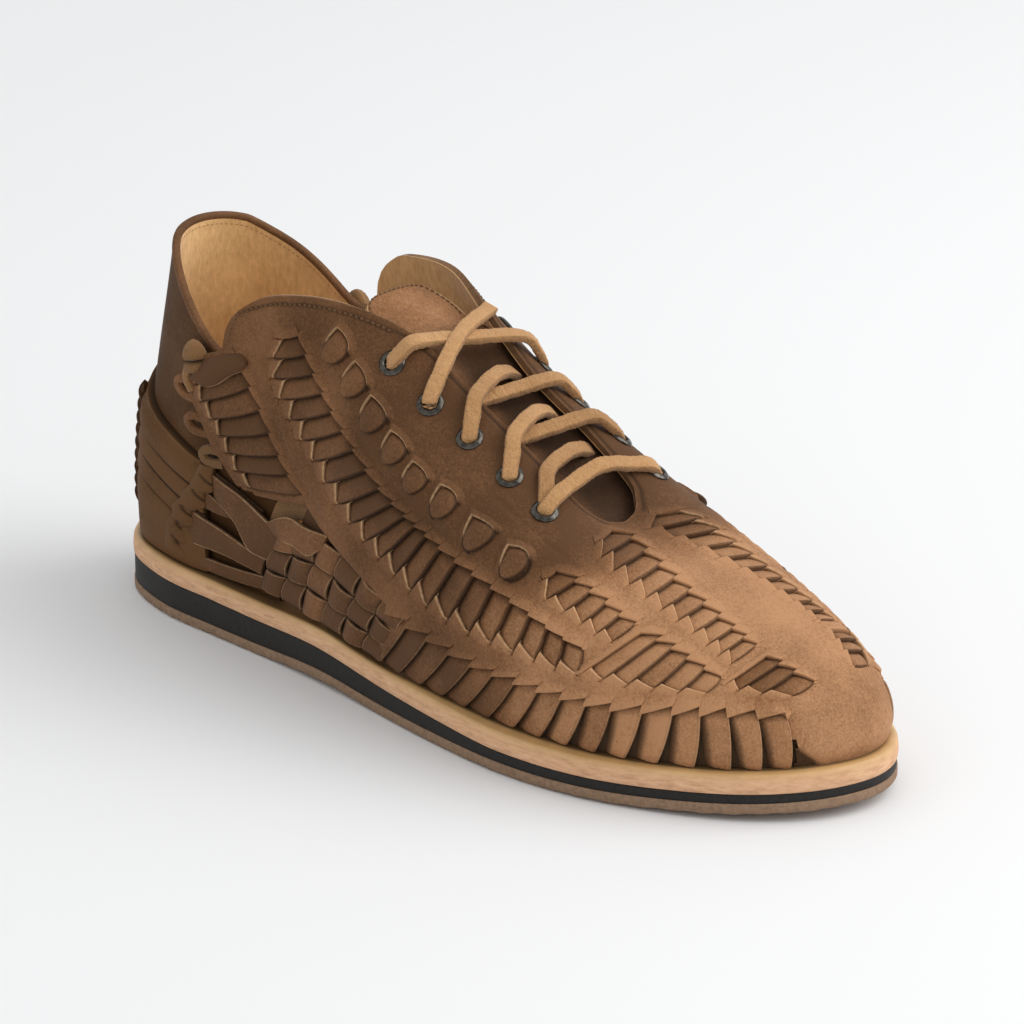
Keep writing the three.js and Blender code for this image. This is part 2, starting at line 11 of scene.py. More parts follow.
import bpy
import numpy as np
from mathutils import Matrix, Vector


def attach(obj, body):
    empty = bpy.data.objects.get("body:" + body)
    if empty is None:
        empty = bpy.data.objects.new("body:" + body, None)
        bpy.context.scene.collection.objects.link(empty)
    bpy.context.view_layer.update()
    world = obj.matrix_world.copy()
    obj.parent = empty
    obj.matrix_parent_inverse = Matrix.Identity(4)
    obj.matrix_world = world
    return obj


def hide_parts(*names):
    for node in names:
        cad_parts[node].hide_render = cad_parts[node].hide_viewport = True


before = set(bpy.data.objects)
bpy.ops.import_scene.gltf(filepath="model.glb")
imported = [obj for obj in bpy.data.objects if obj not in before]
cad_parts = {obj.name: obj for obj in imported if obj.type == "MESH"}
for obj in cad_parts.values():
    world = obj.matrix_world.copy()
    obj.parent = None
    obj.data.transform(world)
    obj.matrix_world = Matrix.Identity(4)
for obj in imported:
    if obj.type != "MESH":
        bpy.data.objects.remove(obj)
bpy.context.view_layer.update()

# Driving sizes
MM = 0.001
TO_FRAME = np.array([-150.0, 1.75, 0.0])  # from the maker's frame to the part's own
SIDES = ((-1, "lateral"), (1, "medial"))
SOLE_LENGTH = 300.0
OUTSOLE = 3.7
LEATHER = 6.1
INSOLE = 2.4
SOLE_GAP = 0.3
FOOT_GAP = 0.45
SHEET_GAP = 0.02
SINK = 0.06  # how far lips and slits sink into the bands
HEEL_FLAT = (14.0, 78.0)
BALL_FLAT = (150.0, 212.0)
HEEL_LIFT = 1.1
TOE_SPRING = 3.6
ARCH_RISE = 1.2
WEDGE_X = (0, 60, 110, 160, 200, 300)
WEDGE_THICK = (8.7, 8.4, 7.2, 5.2, 3.4, 2.7)

# Heights out from the last
LINING_IN = -0.1
LINING_OUT = 0.2
BAND_IN = 1.2
BAND_OUT = 2.4
STRIP_TUCK = 0.6
STRIP_EDGE = 3.0
STRIP_THICK = 1.1
LIP_LOW = 1.5
COUNTER_OUT = -1.4
COUNTER_MID = -2.5
COUNTER_IN = -3.5

UNDER_DARK = 0.9  # shade of the undersides of strips
STEP_Q, STEP_V = 0.01, 0.004  # steps for slopes of the last
DROP_Q, DROP_STEPS = 0.02, 5  # step and number of steps when points are dropped onto the last
TOP_SPREAD = 20.0  # how much the top of the last turns outward

# Sections of the last from heel back to toe: rim is the sole's edge, foot the feather line,
# top the collar edge
# rimX, rimLat, rimMed, footX, footLat, footMed, topX, topHalf, topZ, drop, reach, rise, flare
SECTIONS = np.array([
    [0, 0, 0, 4.5, 0, 0, 16, 0, 120.5, 80, 30, 34, 4],
    [4, 15.8, 15.2, 9, 15, 14.5, 19, 12, 119.5, 82, 30, 34, 4],
    [16, 28.5, 27.5, 20, 25.5, 25, 27.5, 21.5, 116.5, 84, 30, 34, 5],
    [38, 36, 34, 40, 31, 30, 43, 29.5, 112.5, 87, 30, 34, 5],
    [62, 37.7, 35, 62, 33, 31, 62, 31.7, 108, 88, 30, 34, 5],
    [86, 39, 35, 85, 34.5, 30.5, 84, 27.2, 115.6, 84, 30, 34, 6],
    [112, 41.5, 35, 110, 37.5, 30.5, 108, 22.5, 117.5, 72, 30, 34, 7],
    [140, 45.3, 37, 138, 41.5, 32, 130, 15, 110, 40, 30, 34, 8],
    [170, 49.8, 41.5, 168, 44, 36.5, 153, 12.3, 95.5, 25, 30, 32, 9],
    [203, 52.5, 47.3, 200, 45, 41, 177, 12.3, 83, 20, 30, 30, 9],
    [233, 49, 49, 229, 42.5, 42.5, 194, 12, 72.5, 16, 32, 28, 9],
    [259, 39.5, 44.5, 254, 35, 39.5, 199, 10, 68.5, 14, 36, 26, 9],
    [281, 26.5, 35, 275, 23.5, 33, 202, 7, 66, 14, 40, 25, 9],
    [295, 10.5, 22, 289, 8, 22.5, 203.3, 3.5, 64.8, 14, 43, 25, 9],
    [300, -7, 7, 294, -7.5, 7.5, 204, 0, 64.3, 14, 45, 25, 9],
])
TOE = len(SECTIONS) - 1
ROUND = 2 * TOE


def ring_rows():
    """The sections set round in a ring: lateral rows heel to toe, then medial rows toe to heel."""
    s = SECTIONS
    shape = s[:, 8:]
    lateral = np.column_stack([s[:, 0], -s[:, 1], s[:, 3], -s[:, 4], s[:, 6], -s[:, 7], shape])
    medial = np.column_stack([s[:, 0], s[:, 2], s[:, 3], s[:, 5], s[:, 6], s[:, 7], shape])
    return np.vstack([lateral, medial[-2:0:-1]])


RING = ring_rows()


def catmull_rom(rows, t):
    """Catmull-Rom curve between the second and third of four rows, at shares t."""
    a, b, c, d = rows
    return b + 0.5 * t * (c - a + t * (2 * a - 5 * b + 4 * c - d + t * (3 * b - 3 * c + d - a)))


def section(q):
    """Curve through the ring's rows, at ring places q."""
    base = np.floor(q).astype(int)
    return catmull_rom([RING[(base + k) % ROUND] for k in (-1, 0, 1, 2)], (q - base)[..., None])


def unit(vectors):
    """Vectors scaled to length 1."""
    return vectors / np.maximum(np.linalg.norm(vectors, axis=-1, keepdims=True), 1e-9)


def smoothstep(low, high, x):
    """0 below low, 1 above high, and a smooth cubic between; with low above high it falls instead."""
    t = np.clip((np.asarray(x, float) - low) / (high - low), 0, 1)
    return t * t * (3 - 2 * t)


def sole_bottom(x):
    """Underside height: flat heel, low arch as a squared sine, flat ball, toe spring as a square."""
    x = np.asarray(x, float)
    heel = HEEL_LIFT * np.clip((HEEL_FLAT[0] - x) / HEEL_FLAT[0], 0, 1) ** 2
    along = np.clip((x - HEEL_FLAT[1]) / (BALL_FLAT[0] - HEEL_FLAT[1]), 0, 1)
    arch = ARCH_RISE * np.sin(np.pi * along) ** 2
    toe = TOE_SPRING * np.clip((x - BALL_FLAT[1]) / (SOLE_LENGTH - BALL_FLAT[1]), 0, None) ** 2
    return heel + arch + toe


def wedge_top(x):
    """Top of the black wedge."""
    return sole_bottom(x) + OUTSOLE + np.interp(x, WEDGE_X, WEDGE_THICK)


def sole_top(x):
    """Top of the leather runner."""
    return wedge_top(x) + LEATHER


def outward(q, column):
    """Plan direction out of the outline whose x and y sit in two columns of the ring."""
    step = section(q + STEP_Q) - section(q - STEP_Q)
    return unit(np.stack([step[..., column + 1], -step[..., column]], -1))


def last(q, v):
    """Surface of the last: at each q a cubic Bezier curve runs from the top edge to the feather line."""
    q, v = np.broadcast_arrays(np.asarray(q, float), np.asarray(v, float))
    s = section(q)
    out = outward(q, 2)
    foot = np.stack([s[..., 2], s[..., 3], sole_top(s[..., 2]) + FOOT_GAP], -1)
    top = s[..., 4:7]
    over = unit(foot[..., :2] - top[..., :2] + TOP_SPREAD * out)
    drop, flare = np.radians(s[..., 7, None]), np.radians(s[..., 10, None])
    reach, rise = s[..., 8, None], s[..., 9, None]
    high = top + np.concatenate([over * reach * np.cos(drop), -reach * np.sin(drop)], -1)
    low = foot + np.concatenate([out * rise * np.sin(flare), rise * np.cos(flare)], -1)
    w = v[..., None]
    return top * (1 - w) ** 3 + 3 * high * w * (1 - w) ** 2 + 3 * low * w * w * (1 - w) + foot * w ** 3


def normal(q, v):
    """Direction out of the last; level at the feather line."""
    q, v = np.broadcast_arrays(np.asarray(q, float), np.asarray(v, float))
    down = last(q, np.clip(v + STEP_V, 0, 1)) - last(q, np.clip(v - STEP_V, 0, 1))
    n = np.cross(down, last(q + STEP_Q, v) - last(q - STEP_Q, v))
    n[..., 2] *= 1 - smoothstep(0.97, 1.0, v)
    return unit(n)


def wall(q, v, out):
    """Point at a height out from the last."""
    return last(q, v) + normal(q, v) * np.asarray(out, float)[..., None]


def drop_on(points, q, v):
    """Nearest places (q, v) on the last to points, by Gauss-Newton steps from a first guess."""
    q, v = np.array(q, float), np.array(v, float)
    for _ in range(DROP_STEPS):
        a = (last(q + DROP_Q, v) - last(q - DROP_Q, v)) / (2 * DROP_Q)
        b = (last(q, v + STEP_V) - last(q, v - STEP_V)) / (2 * STEP_V)
        d = points - last(q, v)
        aa, ab, bb = (a * a).sum(-1), (a * b).sum(-1), (b * b).sum(-1)
        ad, bd = (a * d).sum(-1), (b * d).sum(-1)
        det = np.maximum(aa * bb - ab * ab, 1e-6)
        q = q + np.clip((ad * bb - bd * ab) / det, -0.6, 0.6)
        v = np.clip(v + np.clip((bd * aa - ad * ab) / det, -0.1, 0.1), 0, 1)
    return q, v


def mirrored(q, side):
    """Ring place on the lateral (-1) or medial (1) side."""
    return np.asarray(q, float) if side < 0 else ROUND - np.asarray(q, float)


def smooth_rows(keys, x):
    """Hermite curve through table rows whose first column is the parameter, at parameters x."""
    keys, x = np.asarray(keys, float), np.asarray(x, float)[..., None]
    t, values = keys[:, 0], keys[:, 1:]
    slope = np.gradient(values, t, axis=0)
    k = np.clip(np.searchsorted(t, x[..., 0], side="right") - 1, 0, len(t) - 2)
    h = (t[k + 1] - t[k])[..., None]
    u = (x - t[k][..., None]) / h
    a, b = values[k], values[k + 1]
    ma, mb = slope[k] * h, slope[k + 1] * h
    curve = a + u * (ma + u * (3 * (b - a) - 2 * ma - mb + u * (2 * (a - b) + ma + mb)))
    before = values[0] + (x - t[0]) * slope[0]
    after = values[-1] + (x - t[-1]) * slope[-1]
    return np.where(x > t[-1], after, np.where(x < t[0], before, curve))


def run_length(path):
    """Distance along a path up to each of its points."""
    return np.concatenate([[0], np.cumsum(np.linalg.norm(np.diff(path, axis=0), axis=1))])


def sampled(at, stations, rows):
    """Rows given at stations, drawn straight between them, at other places."""
    return np.stack([np.interp(at, stations, column) for column in rows.T], -1)


def curve_through(points, count):
    """Even Catmull-Rom samples through given points, by arc length."""
    points = np.asarray(points, float)
    ghost = np.vstack([2 * points[0] - points[1], points, 2 * points[-1] - points[-2]])
    u = np.linspace(0, len(points) - 1, count * 6)
    k = np.minimum(u.astype(int), len(points) - 2)
    line = catmull_rom([ghost[k + i] for i in range(4)], (u - k)[:, None])
    run = run_length(line)
    return sampled(np.linspace(0, run[-1], count), run, line)


def rounded_box(width, height, radius, steps=2):
    """Outline of a rectangle with round corners."""
    turn = np.linspace(0, np.pi / 2, steps + 1)
    corners = []
    for k, (sx, sy) in enumerate(((1, 1), (-1, 1), (-1, -1), (1, -1))):
        angle = turn + k * np.pi / 2
        x = sx * (width / 2 - radius) + radius * np.cos(angle)
        y = sy * (height / 2 - radius) + radius * np.sin(angle)
        corners.append(np.stack([x, y], -1))
    return np.concatenate(corners)


def inside_outline(q, v, outline):
    """True where places lie inside a closed outline of (q, v) points, by the even-odd rule."""
    a, b = outline, np.roll(outline, -1, 0)
    crossing = (a[:, 1] > v[..., None]) != (b[:, 1] > v[..., None])
    rise = np.where(np.abs(b[:, 1] - a[:, 1]) < 1e-9, 1e-9, b[:, 1] - a[:, 1])
    at = a[:, 0] + (v[..., None] - a[:, 1]) / rise * (b[:, 0] - a[:, 0])
    return (crossing & (q[..., None] < at)).sum(-1) % 2 == 1


# Mesh making

class Heap:
    """Points, faces and point marks of one piece, gathered from several grids."""

    MARKS = ("cut", "tone", "shade")

    def __init__(self):
        self.points, self.faces = [], []
        self.marks = {name: [] for name in self.MARKS}
        self.count = 0

    def add(self, points, faces, **marks):
        """Adds points (n, 3) and a list of face arrays, with marks given per point or as one number."""
        points = np.asarray(points, float).reshape(-1, 3)
        self.faces += [np.asarray(f, int) + self.count for f in faces if len(f)]
        self.points.append(points)
        for name in self.MARKS:
            value = np.asarray(marks.get(name, 0.0), float).ravel()
            self.marks[name].append(np.broadcast_to(value, (len(points),)))
        self.count += len(points)

    def piece(self, name, material, slot, replaces=(), sharp=35.0):
        """Makes the object, in metres in the part's frame, smooth except at edges sharper than an angle."""
        points = np.concatenate(self.points)
        marks = {mark: np.concatenate(values) for mark, values in self.marks.items()}
        if material is BROWN:
            marks["tone"] = marks["tone"] + tone_and_painted_shade(points)
        mesh = bpy.data.meshes.new(name)
        loops = np.concatenate([f.ravel() for f in self.faces])
        totals = np.concatenate([np.full(len(f), f.shape[1]) for f in self.faces])
        mesh.vertices.add(len(points))
        mesh.vertices.foreach_set("co", ((points + TO_FRAME) * MM).astype(np.float32).ravel())
        mesh.loops.add(len(loops))
        mesh.loops.foreach_set("vertex_index", loops.astype(np.int32))
        mesh.polygons.add(len(totals))
        mesh.polygons.foreach_set("loop_start", (np.cumsum(totals) - totals).astype(np.int32))
        mesh.polygons.foreach_set("loop_total", totals.astype(np.int32))
        mesh.polygons.foreach_set("use_smooth", np.ones(len(totals), bool))
        mesh.update(calc_edges=True)
        mesh.validate()
        mesh.set_sharp_from_angle(angle=math.radians(sharp))
        for mark, values in marks.items():
            attribute = mesh.attributes.new(mark, "FLOAT", "POINT")
            attribute.data.foreach_set("value", values.astype(np.float32))
        mesh.materials.append(material)
        piece = bpy.data.objects.new(name, mesh)
        bpy.context.scene.collection.objects.link(piece)
        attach(piece, "root")
        if replaces:
            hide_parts(*replaces)
        return piece


def tone_and_painted_shade(points):
    """Tone of the brown leather: darker round the ankle and eyestay, paler in front, with painted shade low
    down at the rear fingers.
    """
    x, z = points[:, 0], points[:, 2]
    front = smoothstep(176, 216, x - 1.2 * np.clip(z - 45, 0, None))
    # painted shade: the low rear of the upper is darkened where less light reaches it
    painted_low_shade = (1 - smoothstep(24, 46, z)) * (1 - smoothstep(200, 240, x))
    eyestay = smoothstep(54, 66, z) * smoothstep(110, 150, x) * (1 - smoothstep(205, 232, x))
    return -0.7 + 1.45 * front - 0.4 * painted_low_shade - 0.45 * eyestay


def grid_quads(n, m):
    """Quads of an n by m grid of points."""
    k = np.arange(n * m).reshape(n, m)
    return np.stack([k[:-1, :-1], k[1:, :-1], k[1:, 1:], k[:-1, 1:]], -1).reshape(-1, 4)


def volume(points, quads):
    """Signed volume inside closed quads, for each of several point sets (k, n, 3)."""
    a, b, c, d = (points[:, quads[:, i]] for i in range(4))
    return (np.cross(a, b) * c + np.cross(a, c) * d).sum((-1, -2)) / 6


def facing_out(points, faces):
    """Face arrays, all turned over if the first of them, the quads, wraps a negative volume."""
    flat = points.reshape(-1, 3)
    turn = -1 if volume((flat - flat.mean(0))[None], faces[0])[0] < 0 else 1
    return [f[:, ::turn] for f in faces]


def tube_faces(n, m):
    """Faces of n rings of m points: the quads between the rings, then one flat face at each end."""
    k = np.arange(n * m).reshape(n, m)
    after = np.roll(k, -1, 1)
    return [np.stack([k[:-1], k[1:], after[1:], after[:-1]], -1).reshape(-1, 4), k[:1], k[-1:, ::-1]]


def slabs(heap, top, bottom, cut=None, tone=0.0, shade=0.0, under=0.0):
    """Closed sheets between grids top and bottom (k, n, m, 3), joined round their four edges.
    cut marks raw edge (the rim, unless given), tone shifts the colour, shade paints shade in,
    under paints shade onto the lower face."""
    k, n, m = top.shape[:3]
    grid = np.arange(n * m).reshape(n, m)
    up = grid_quads(n, m)
    loop = np.concatenate([grid[:-1, 0], grid[-1, :-1], grid[:0:-1, -1], grid[0, :0:-1]])
    after = np.roll(loop, -1)
    sides = np.stack([after, loop, loop + n * m, after + n * m], -1)
    quads = np.concatenate([up, up[:, ::-1] + n * m, sides])
    points = np.concatenate([top.reshape(k, -1, 3), bottom.reshape(k, -1, 3)], 1)
    flip = volume(points, quads) < 0
    faces = np.where(flip[:, None, None], quads[None, :, ::-1], quads[None])
    faces = faces + np.arange(k)[:, None, None] * 2 * n * m
    if cut is None:
        cut = np.zeros((n, m))
        cut[0], cut[-1], cut[:, 0], cut[:, -1] = 1, 1, 1, 1
    tone = np.asarray(tone, float)
    tone = tone.reshape(-1, 1, 1) if tone.ndim == 1 else tone
    marks = [np.broadcast_to(mark, (k, n, m)).reshape(k, -1) for mark in (cut, tone, shade)]
    cut, tone, shade = marks
    heap.add(points, [faces.reshape(-1, 4)], cut=np.concatenate([cut, cut * (1 - under)], 1),
             tone=np.concatenate([tone, tone], 1),
             shade=np.concatenate([shade, np.maximum(shade, under)], 1))


def sheet(heap, q, v, top, bottom, **marks):
    """One closed sheet over places (q, v), between two heights out from the last, with painted shade beneath.
    """
    slabs(heap, wall(q, v, top)[None], wall(q, v, bottom)[None], under=UNDER_DARK, **marks)


def masked_slab(heap, top, bottom, keep, cut=0.0, tone=0.0, shade=0.0):
    """Closed sheet between two grids (n, m, 3) of only the cells that keep marks, walled round every gap."""
    n, m = top.shape[:2]
    k = np.arange(n * m).reshape(n, m)
    a, b, c, d = k[:-1, :-1], k[1:, :-1], k[1:, 1:], k[:-1, 1:]
    up = np.stack([a, b, c, d], -1)[keep]
    padded = np.pad(keep, 1)
    gaps = ((padded[1:-1, :-2], a, b), (padded[2:, 1:-1], b, c),
            (padded[1:-1, 2:], c, d), (padded[:-2, 1:-1], d, a))
    walls = [up, up[:, ::-1] + n * m]
    for beside, start, end in gaps:
        rim = keep & ~beside
        s, e = start[rim], end[rim]
        walls.append(np.stack([e, s, s + n * m, e + n * m], -1))
    points = np.concatenate([top.reshape(-1, 3), bottom.reshape(-1, 3)])
    quads = facing_out(points, [np.concatenate(walls)])[0]
    used, quads = np.unique(quads, return_inverse=True)
    cut, tone, shade = (np.tile(np.broadcast_to(mark, (n, m)).ravel(), 2)[used]
                        for mark in (cut, tone, shade))
    heap.add(points[used], [quads.reshape(-1, 4)], cut=cut, tone=tone, shade=shade)


def sweep(heap, path, ups, profile, cut=0.0, tone=0.0, shade=0.0):
    """A closed profile (m, 2) carried along a path (n, 3), its second axis towards ups, with flat ends."""
    along = unit(np.gradient(path, axis=0))
    across = unit(np.cross(along, ups))
    lift = np.cross(across, along)
    points = path[:, None] + across[:, None] * profile[..., :1] + lift[:, None] * profile[..., 1:]
    faces = facing_out(points, tube_faces(*points.shape[:2]))
    heap.add(points, faces, cut=cut, tone=tone, shade=shade)


# Materials

class Look:
    """A material with its shader, and short ways to add nodes to it."""

    def __init__(self, name):
        self.material = bpy.data.materials.new(name)
        self.material.use_nodes = True
        self.tree = self.material.node_tree
        self.place = self.node("TexCoord").outputs["Object"]

    def put(self, socket, value):
        """Links a socket to another one, or sets it to a plain value."""
        if isinstance(value, bpy.types.NodeSocket):
            self.tree.links.new(value, socket)
        else:
            socket.default_value = value

    def node(self, kind, *inputs, settings=(), **named):
        """Adds a node; settings are its own, inputs go to its sockets in order or by name."""
        made = self.tree.nodes.new("ShaderNode" + kind)
        for key, value in settings:
            setattr(made, key, value)
        for socket, value in zip(made.inputs, inputs):
            self.put(socket, value)
        for key, value in named.items():
            self.put(made.inputs[key], value)
        return made

    def mark(self, name):
        """A point mark as a number."""
        return self.node("Attribute", settings=[("attribute_name", name)]).outputs["Fac"]

    def noise(self, scale, detail, roughness, stretch=None):
        """Noise over the object, drawn out where stretch is small, as a number."""
        place = self.place
        if stretch:
            place = self.node("Mapping", Vector=place, Scale=stretch).outputs[0]
        made = self.node("TexNoise", Vector=place, Scale=scale, Detail=detail, Roughness=roughness)
        return made.outputs["Fac"]

    def ramp(self, value, *stops):
        """Colour ramp of (place, colour) stops on a number."""
        made = self.node("ValToRGB", value)
        elements = made.color_ramp.elements
        while len(elements) < len(stops):
            elements.new(0.5)
        for element, (at, colour) in zip(elements, stops):
            element.position = at
            element.color = (*colour, 1.0)
        return made.outputs["Color"]

    def mix(self, share, a, b):
        """Colour a with a share of b, which may be a plain colour."""
        made = self.node("Mix", settings=[("data_type", "RGBA")])
        for index, value in ((0, share), (6, a), (7, (*b, 1.0) if isinstance(b, tuple) else b)):
            self.put(made.inputs[index], value)
        return made.outputs[2]

    def scaled(self, value, low, high, to_low=0.0, to_high=1.0):
        """A number mapped from one range to another and held there."""
        made = self.node("MapRange", value, low, high, to_low, to_high, settings=[("clamp", True)])
        return made.outputs[0]

    def added(self, value, factor, base):
        """A number times a factor, added to a base."""
        return self.node("Math", value, factor, base, settings=[("operation", "MULTIPLY_ADD")]).outputs[0]

    def bump(self, strength, distance, height):
        """Shading normal of a height."""
        return self.node("Bump", Strength=strength, Distance=distance, Height=height).outputs["Normal"]

    def paint(self, inputs):
        """The material, with the shader's inputs set."""
        for name, value in inputs.items():
            self.put(self.tree.nodes["Principled BSDF"].inputs[name], value)
        return self.material


def leather(name, dark, mid, light, raw, nap, roughness=(0.62, 0.82), sheen=0.03, gain=1.0, gloss=0.15):
    """Oiled nubuck: cloudy pull-up tones, fine nap, pale raw cut edges, tone that shifts from strip to strip,
    and painted shade down in the gaps."""
    look = Look(name)
    cloud = look.noise(42.0, 3.0, 0.5)
    fine = look.noise(620.0, 4.0, 0.7)
    grain = look.noise(1500.0, 3.0, 0.6)
    mottle = look.added(fine, 0.35, look.scaled(cloud, 0.25, 0.75, 0.33, 0.67))
    shifted = look.added(look.mark("tone"), 0.32, look.added(grain, 0.6, mottle))
    body = look.ramp(look.scaled(shifted, 0.6, 1.35), (0.0, dark), (0.5, mid), (1.0, light))
    cut = look.scaled(look.mark("cut"), 0.2, 1.0, 0.0, 0.85)
    worn = look.added(cut, look.scaled(fine, 0.35, 0.6, 0.45, 1.0), 0.0)
    painted_shade = look.scaled(look.mark("shade"), 0.0, 1.0, 0.0, 0.85)
    return look.paint({
        "Base Color": look.mix(painted_shade, look.mix(worn, body, raw), tuple(0.16 * c for c in dark)),
        "Roughness": look.scaled(mottle, 0.45, 0.9, roughness[1], roughness[0]),
        "Sheen Weight": sheen,
        "Sheen Roughness": 0.5,
        "Specular IOR Level": gloss,
        "Normal": look.bump(nap, 0.0006 * gain, look.added(grain, 0.45, fine)),
    })


def suede(name, dark, light):
    """Golden suede: brushed fibres drawn out along one way, soft sheen, no gloss; its tone mark also carries
    painted light and shade, and its shade mark paints shade in.
    """
    look = Look(name)
    fibre = look.noise(620.0, 5.0, 0.7, (1.0, 1.0, 0.42))
    both = look.added(fibre, 0.9, look.noise(32.0, 4.0, 0.6))
    tone_and_painted_light = look.added(look.mark("tone"), 0.3, both)
    body = look.ramp(look.scaled(tone_and_painted_light, 0.6, 1.3), (0.0, dark), (1.0, light))
    raw = look.mix(look.scaled(look.mark("cut"), 0.3, 1.0, 0.0, 0.5), body, (0.52, 0.34, 0.16))
    painted_shade = look.scaled(look.mark("shade"), 0.0, 1.0, 0.0, 0.94)
    return look.paint({
        "Base Color": look.mix(painted_shade, raw, (0.03, 0.015, 0.006)),
        "Roughness": 0.92,
        "Sheen Weight": 0.3,
        "Specular IOR Level": 0.2,
        "Normal": look.bump(0.6, 0.0006, fibre),
    })


def runner_leather(name):
    """Natural leather edge: pinkish sanded side with drawn-out fibres, golden waxed top edge,
    and painted shade near the foot of the upper."""
    look = Look(name)
    fibre = look.noise(520.0, 5.0, 0.7, (0.35, 0.35, 1.6))
    cloud = look.noise(45.0, 4.0, 0.6)
    side = look.ramp(fibre, (0.3, (0.50, 0.27, 0.145)), (0.5, (0.69, 0.40, 0.225)), (0.7, (0.80, 0.50, 0.30)))
    top = look.ramp(cloud, (0.3, (0.52, 0.30, 0.115)), (0.7, (0.68, 0.42, 0.18)))
    cut = look.mark("cut")
    colour = look.mix(look.scaled(cut, 0.0, 1.0), side, top)
    return look.paint({
        # painted shade: marks past 1 darken the runner's top towards the foot of the upper
        "Base Color": look.mix(look.scaled(cut, 1.1, 2.0, 0.0, 0.8), colour, (0.06, 0.03, 0.012)),
        "Roughness": look.scaled(cut, 0.0, 1.0, 0.8, 0.42),
        "Normal": look.bump(0.22, 0.0005, fibre),
    })


def rubber(name, dark, light, roughness, scale, strength):
    """Matt rubber with sanding specks."""
    look = Look(name)
    speck = look.noise(scale, 5.0, 0.7)
    return look.paint({
        "Base Color": look.ramp(speck, (0.32, dark), (0.68, light)),
        "Roughness": roughness,
        "Specular IOR Level": 0.3,
        "Normal": look.bump(strength, 0.0005, speck),
    })


def dark_metal(name):
    """Dark polished plating, slightly worn."""
    look = Look(name)
    worn = look.noise(700.0, 3.0, 0.6)
    return look.paint({
        "Base Color": look.ramp(worn, (0.35, (0.05, 0.045, 0.04)), (0.7, (0.13, 0.118, 0.1))),
        "Metallic": 1.0,
        "Roughness": look.scaled(worn, 0.3, 0.7, 0.12, 0.26),
    })


def thread(name):
    """Waxed dark sewing thread."""
    look = Look(name)
    twist = look.noise(2600.0, 2.0, 0.5)
    return look.paint({
        "Base Color": look.ramp(twist, (0.3, (0.09, 0.047, 0.023)), (0.7, (0.18, 0.10, 0.052))),
        "Roughness": 0.8,
        "Specular IOR Level": 0.1,
    })


BROWN = leather("brown_leather", (0.11, 0.05, 0.02), (0.235, 0.108, 0.045), (0.48, 0.245, 0.117),
                raw=(0.72, 0.46, 0.25), nap=0.38)
DARK = leather("dark_leather", (0.05, 0.0225, 0.0085), (0.083, 0.038, 0.0145), (0.135, 0.066, 0.027),
               raw=(0.40, 0.22, 0.10), nap=0.16, roughness=(0.5, 0.7), sheen=0.0, gloss=0.06)
THONG = leather("thong_leather", (0.31, 0.16, 0.063), (0.50, 0.268, 0.113), (0.68, 0.39, 0.18),
                raw=(0.25, 0.13, 0.054), nap=0.8, roughness=(0.85, 0.97), sheen=0.12, gain=1.6)
LINING = suede("lining_leather", (0.54, 0.30, 0.113), (0.98, 0.62, 0.275))
NATURAL = runner_leather("natural_leather")
BLACK = rubber("black_rubber", (0.008, 0.007, 0.006), (0.02, 0.018, 0.016), 0.6, 900.0, 0.15)
TAN = rubber("tan_rubber", (0.2, 0.124, 0.076), (0.33, 0.216, 0.138), 0.85, 700.0, 0.35)
METAL = dark_metal("gunmetal")
THREAD = thread("stitching")
rng = np.random.default_rng(7)


# Sole

RIM_COLUMN, FOOT_COLUMN = 0, 2  # columns of the ring that hold the sole's edge and the feather line
SOLE_STEPS = 10
RUNNER_RADIUS = 1.7
RUNNER_EDGE = 1.9


def above(surface, rise):
    """A height function of x, raised."""
    return lambda x: surface(x) + rise


def shelf(s):
    """Width of the sole that stands out round the feather line, at section rows s."""
    return np.linalg.norm(s[:, 0:2] - s[:, 2:4], axis=1)


def at_least(inset, beyond):
    """Inset that lies beyond the feather line by some millimetres, but is no less than a given one."""
    return lambda s: np.maximum(inset, shelf(s) + beyond)


def wax_and_painted_shade(inset, waxed):
    """Mark of the runner at an inset: its waxed share, and up to 1 more of painted shade where it nears the
    upper.
    """
    return lambda s: waxed + smoothstep(-1.7, 0.0, inset - shelf(s) + BAND_OUT)


def sole_slab(name, levels, column, material, slot, replaces, ragged=0.0):
    """Rings of the outline set in by each level's inset at its height, closed by flat caps.
    A level is (inset, height function of x, mark of the cut edge); inset and mark may be functions of
    the section rows. ragged is the waviness of the second ring."""
    count = ROUND * SOLE_STEPS
    q = np.arange(count) / SOLE_STEPS
    s = section(q)
    out = outward(q, column)
    rings, cuts = [], []
    for inset, height, cut in levels:
        inset, cut = (value(s) if callable(value) else value for value in (inset, cut))
        x, y = s[:, column] - out[:, 0] * inset, s[:, column + 1] - out[:, 1] * inset
        rings.append(np.stack([x, y, height(s[:, column])], -1))
        cuts.append(np.broadcast_to(cut, (count,)))
    rings[1][:, 2] += ragged * (np.sin(q * 31.0) * np.sin(q * 13.7) + 0.5 * np.sin(q * 57.3))
    points = np.stack(rings)
    half = np.arange(count // 2)
    across = np.stack([half, half + 1, -half - 1, -half], -1) % count
    cap = [across[:1, :3], across[1:-1], across[-1:, [0, 1, 3]]]
    low = [np.roll(f[:, ::-1], 1, axis=1) for f in (tube_faces(len(levels), count)[0], *cap)]
    high = [f + (len(levels) - 1) * count for f in cap]
    heap = Heap()
    heap.add(points, facing_out(points, [*low, *high]), cut=np.concatenate(cuts))
    return heap.piece(name, material, slot, replaces, sharp=50.0)


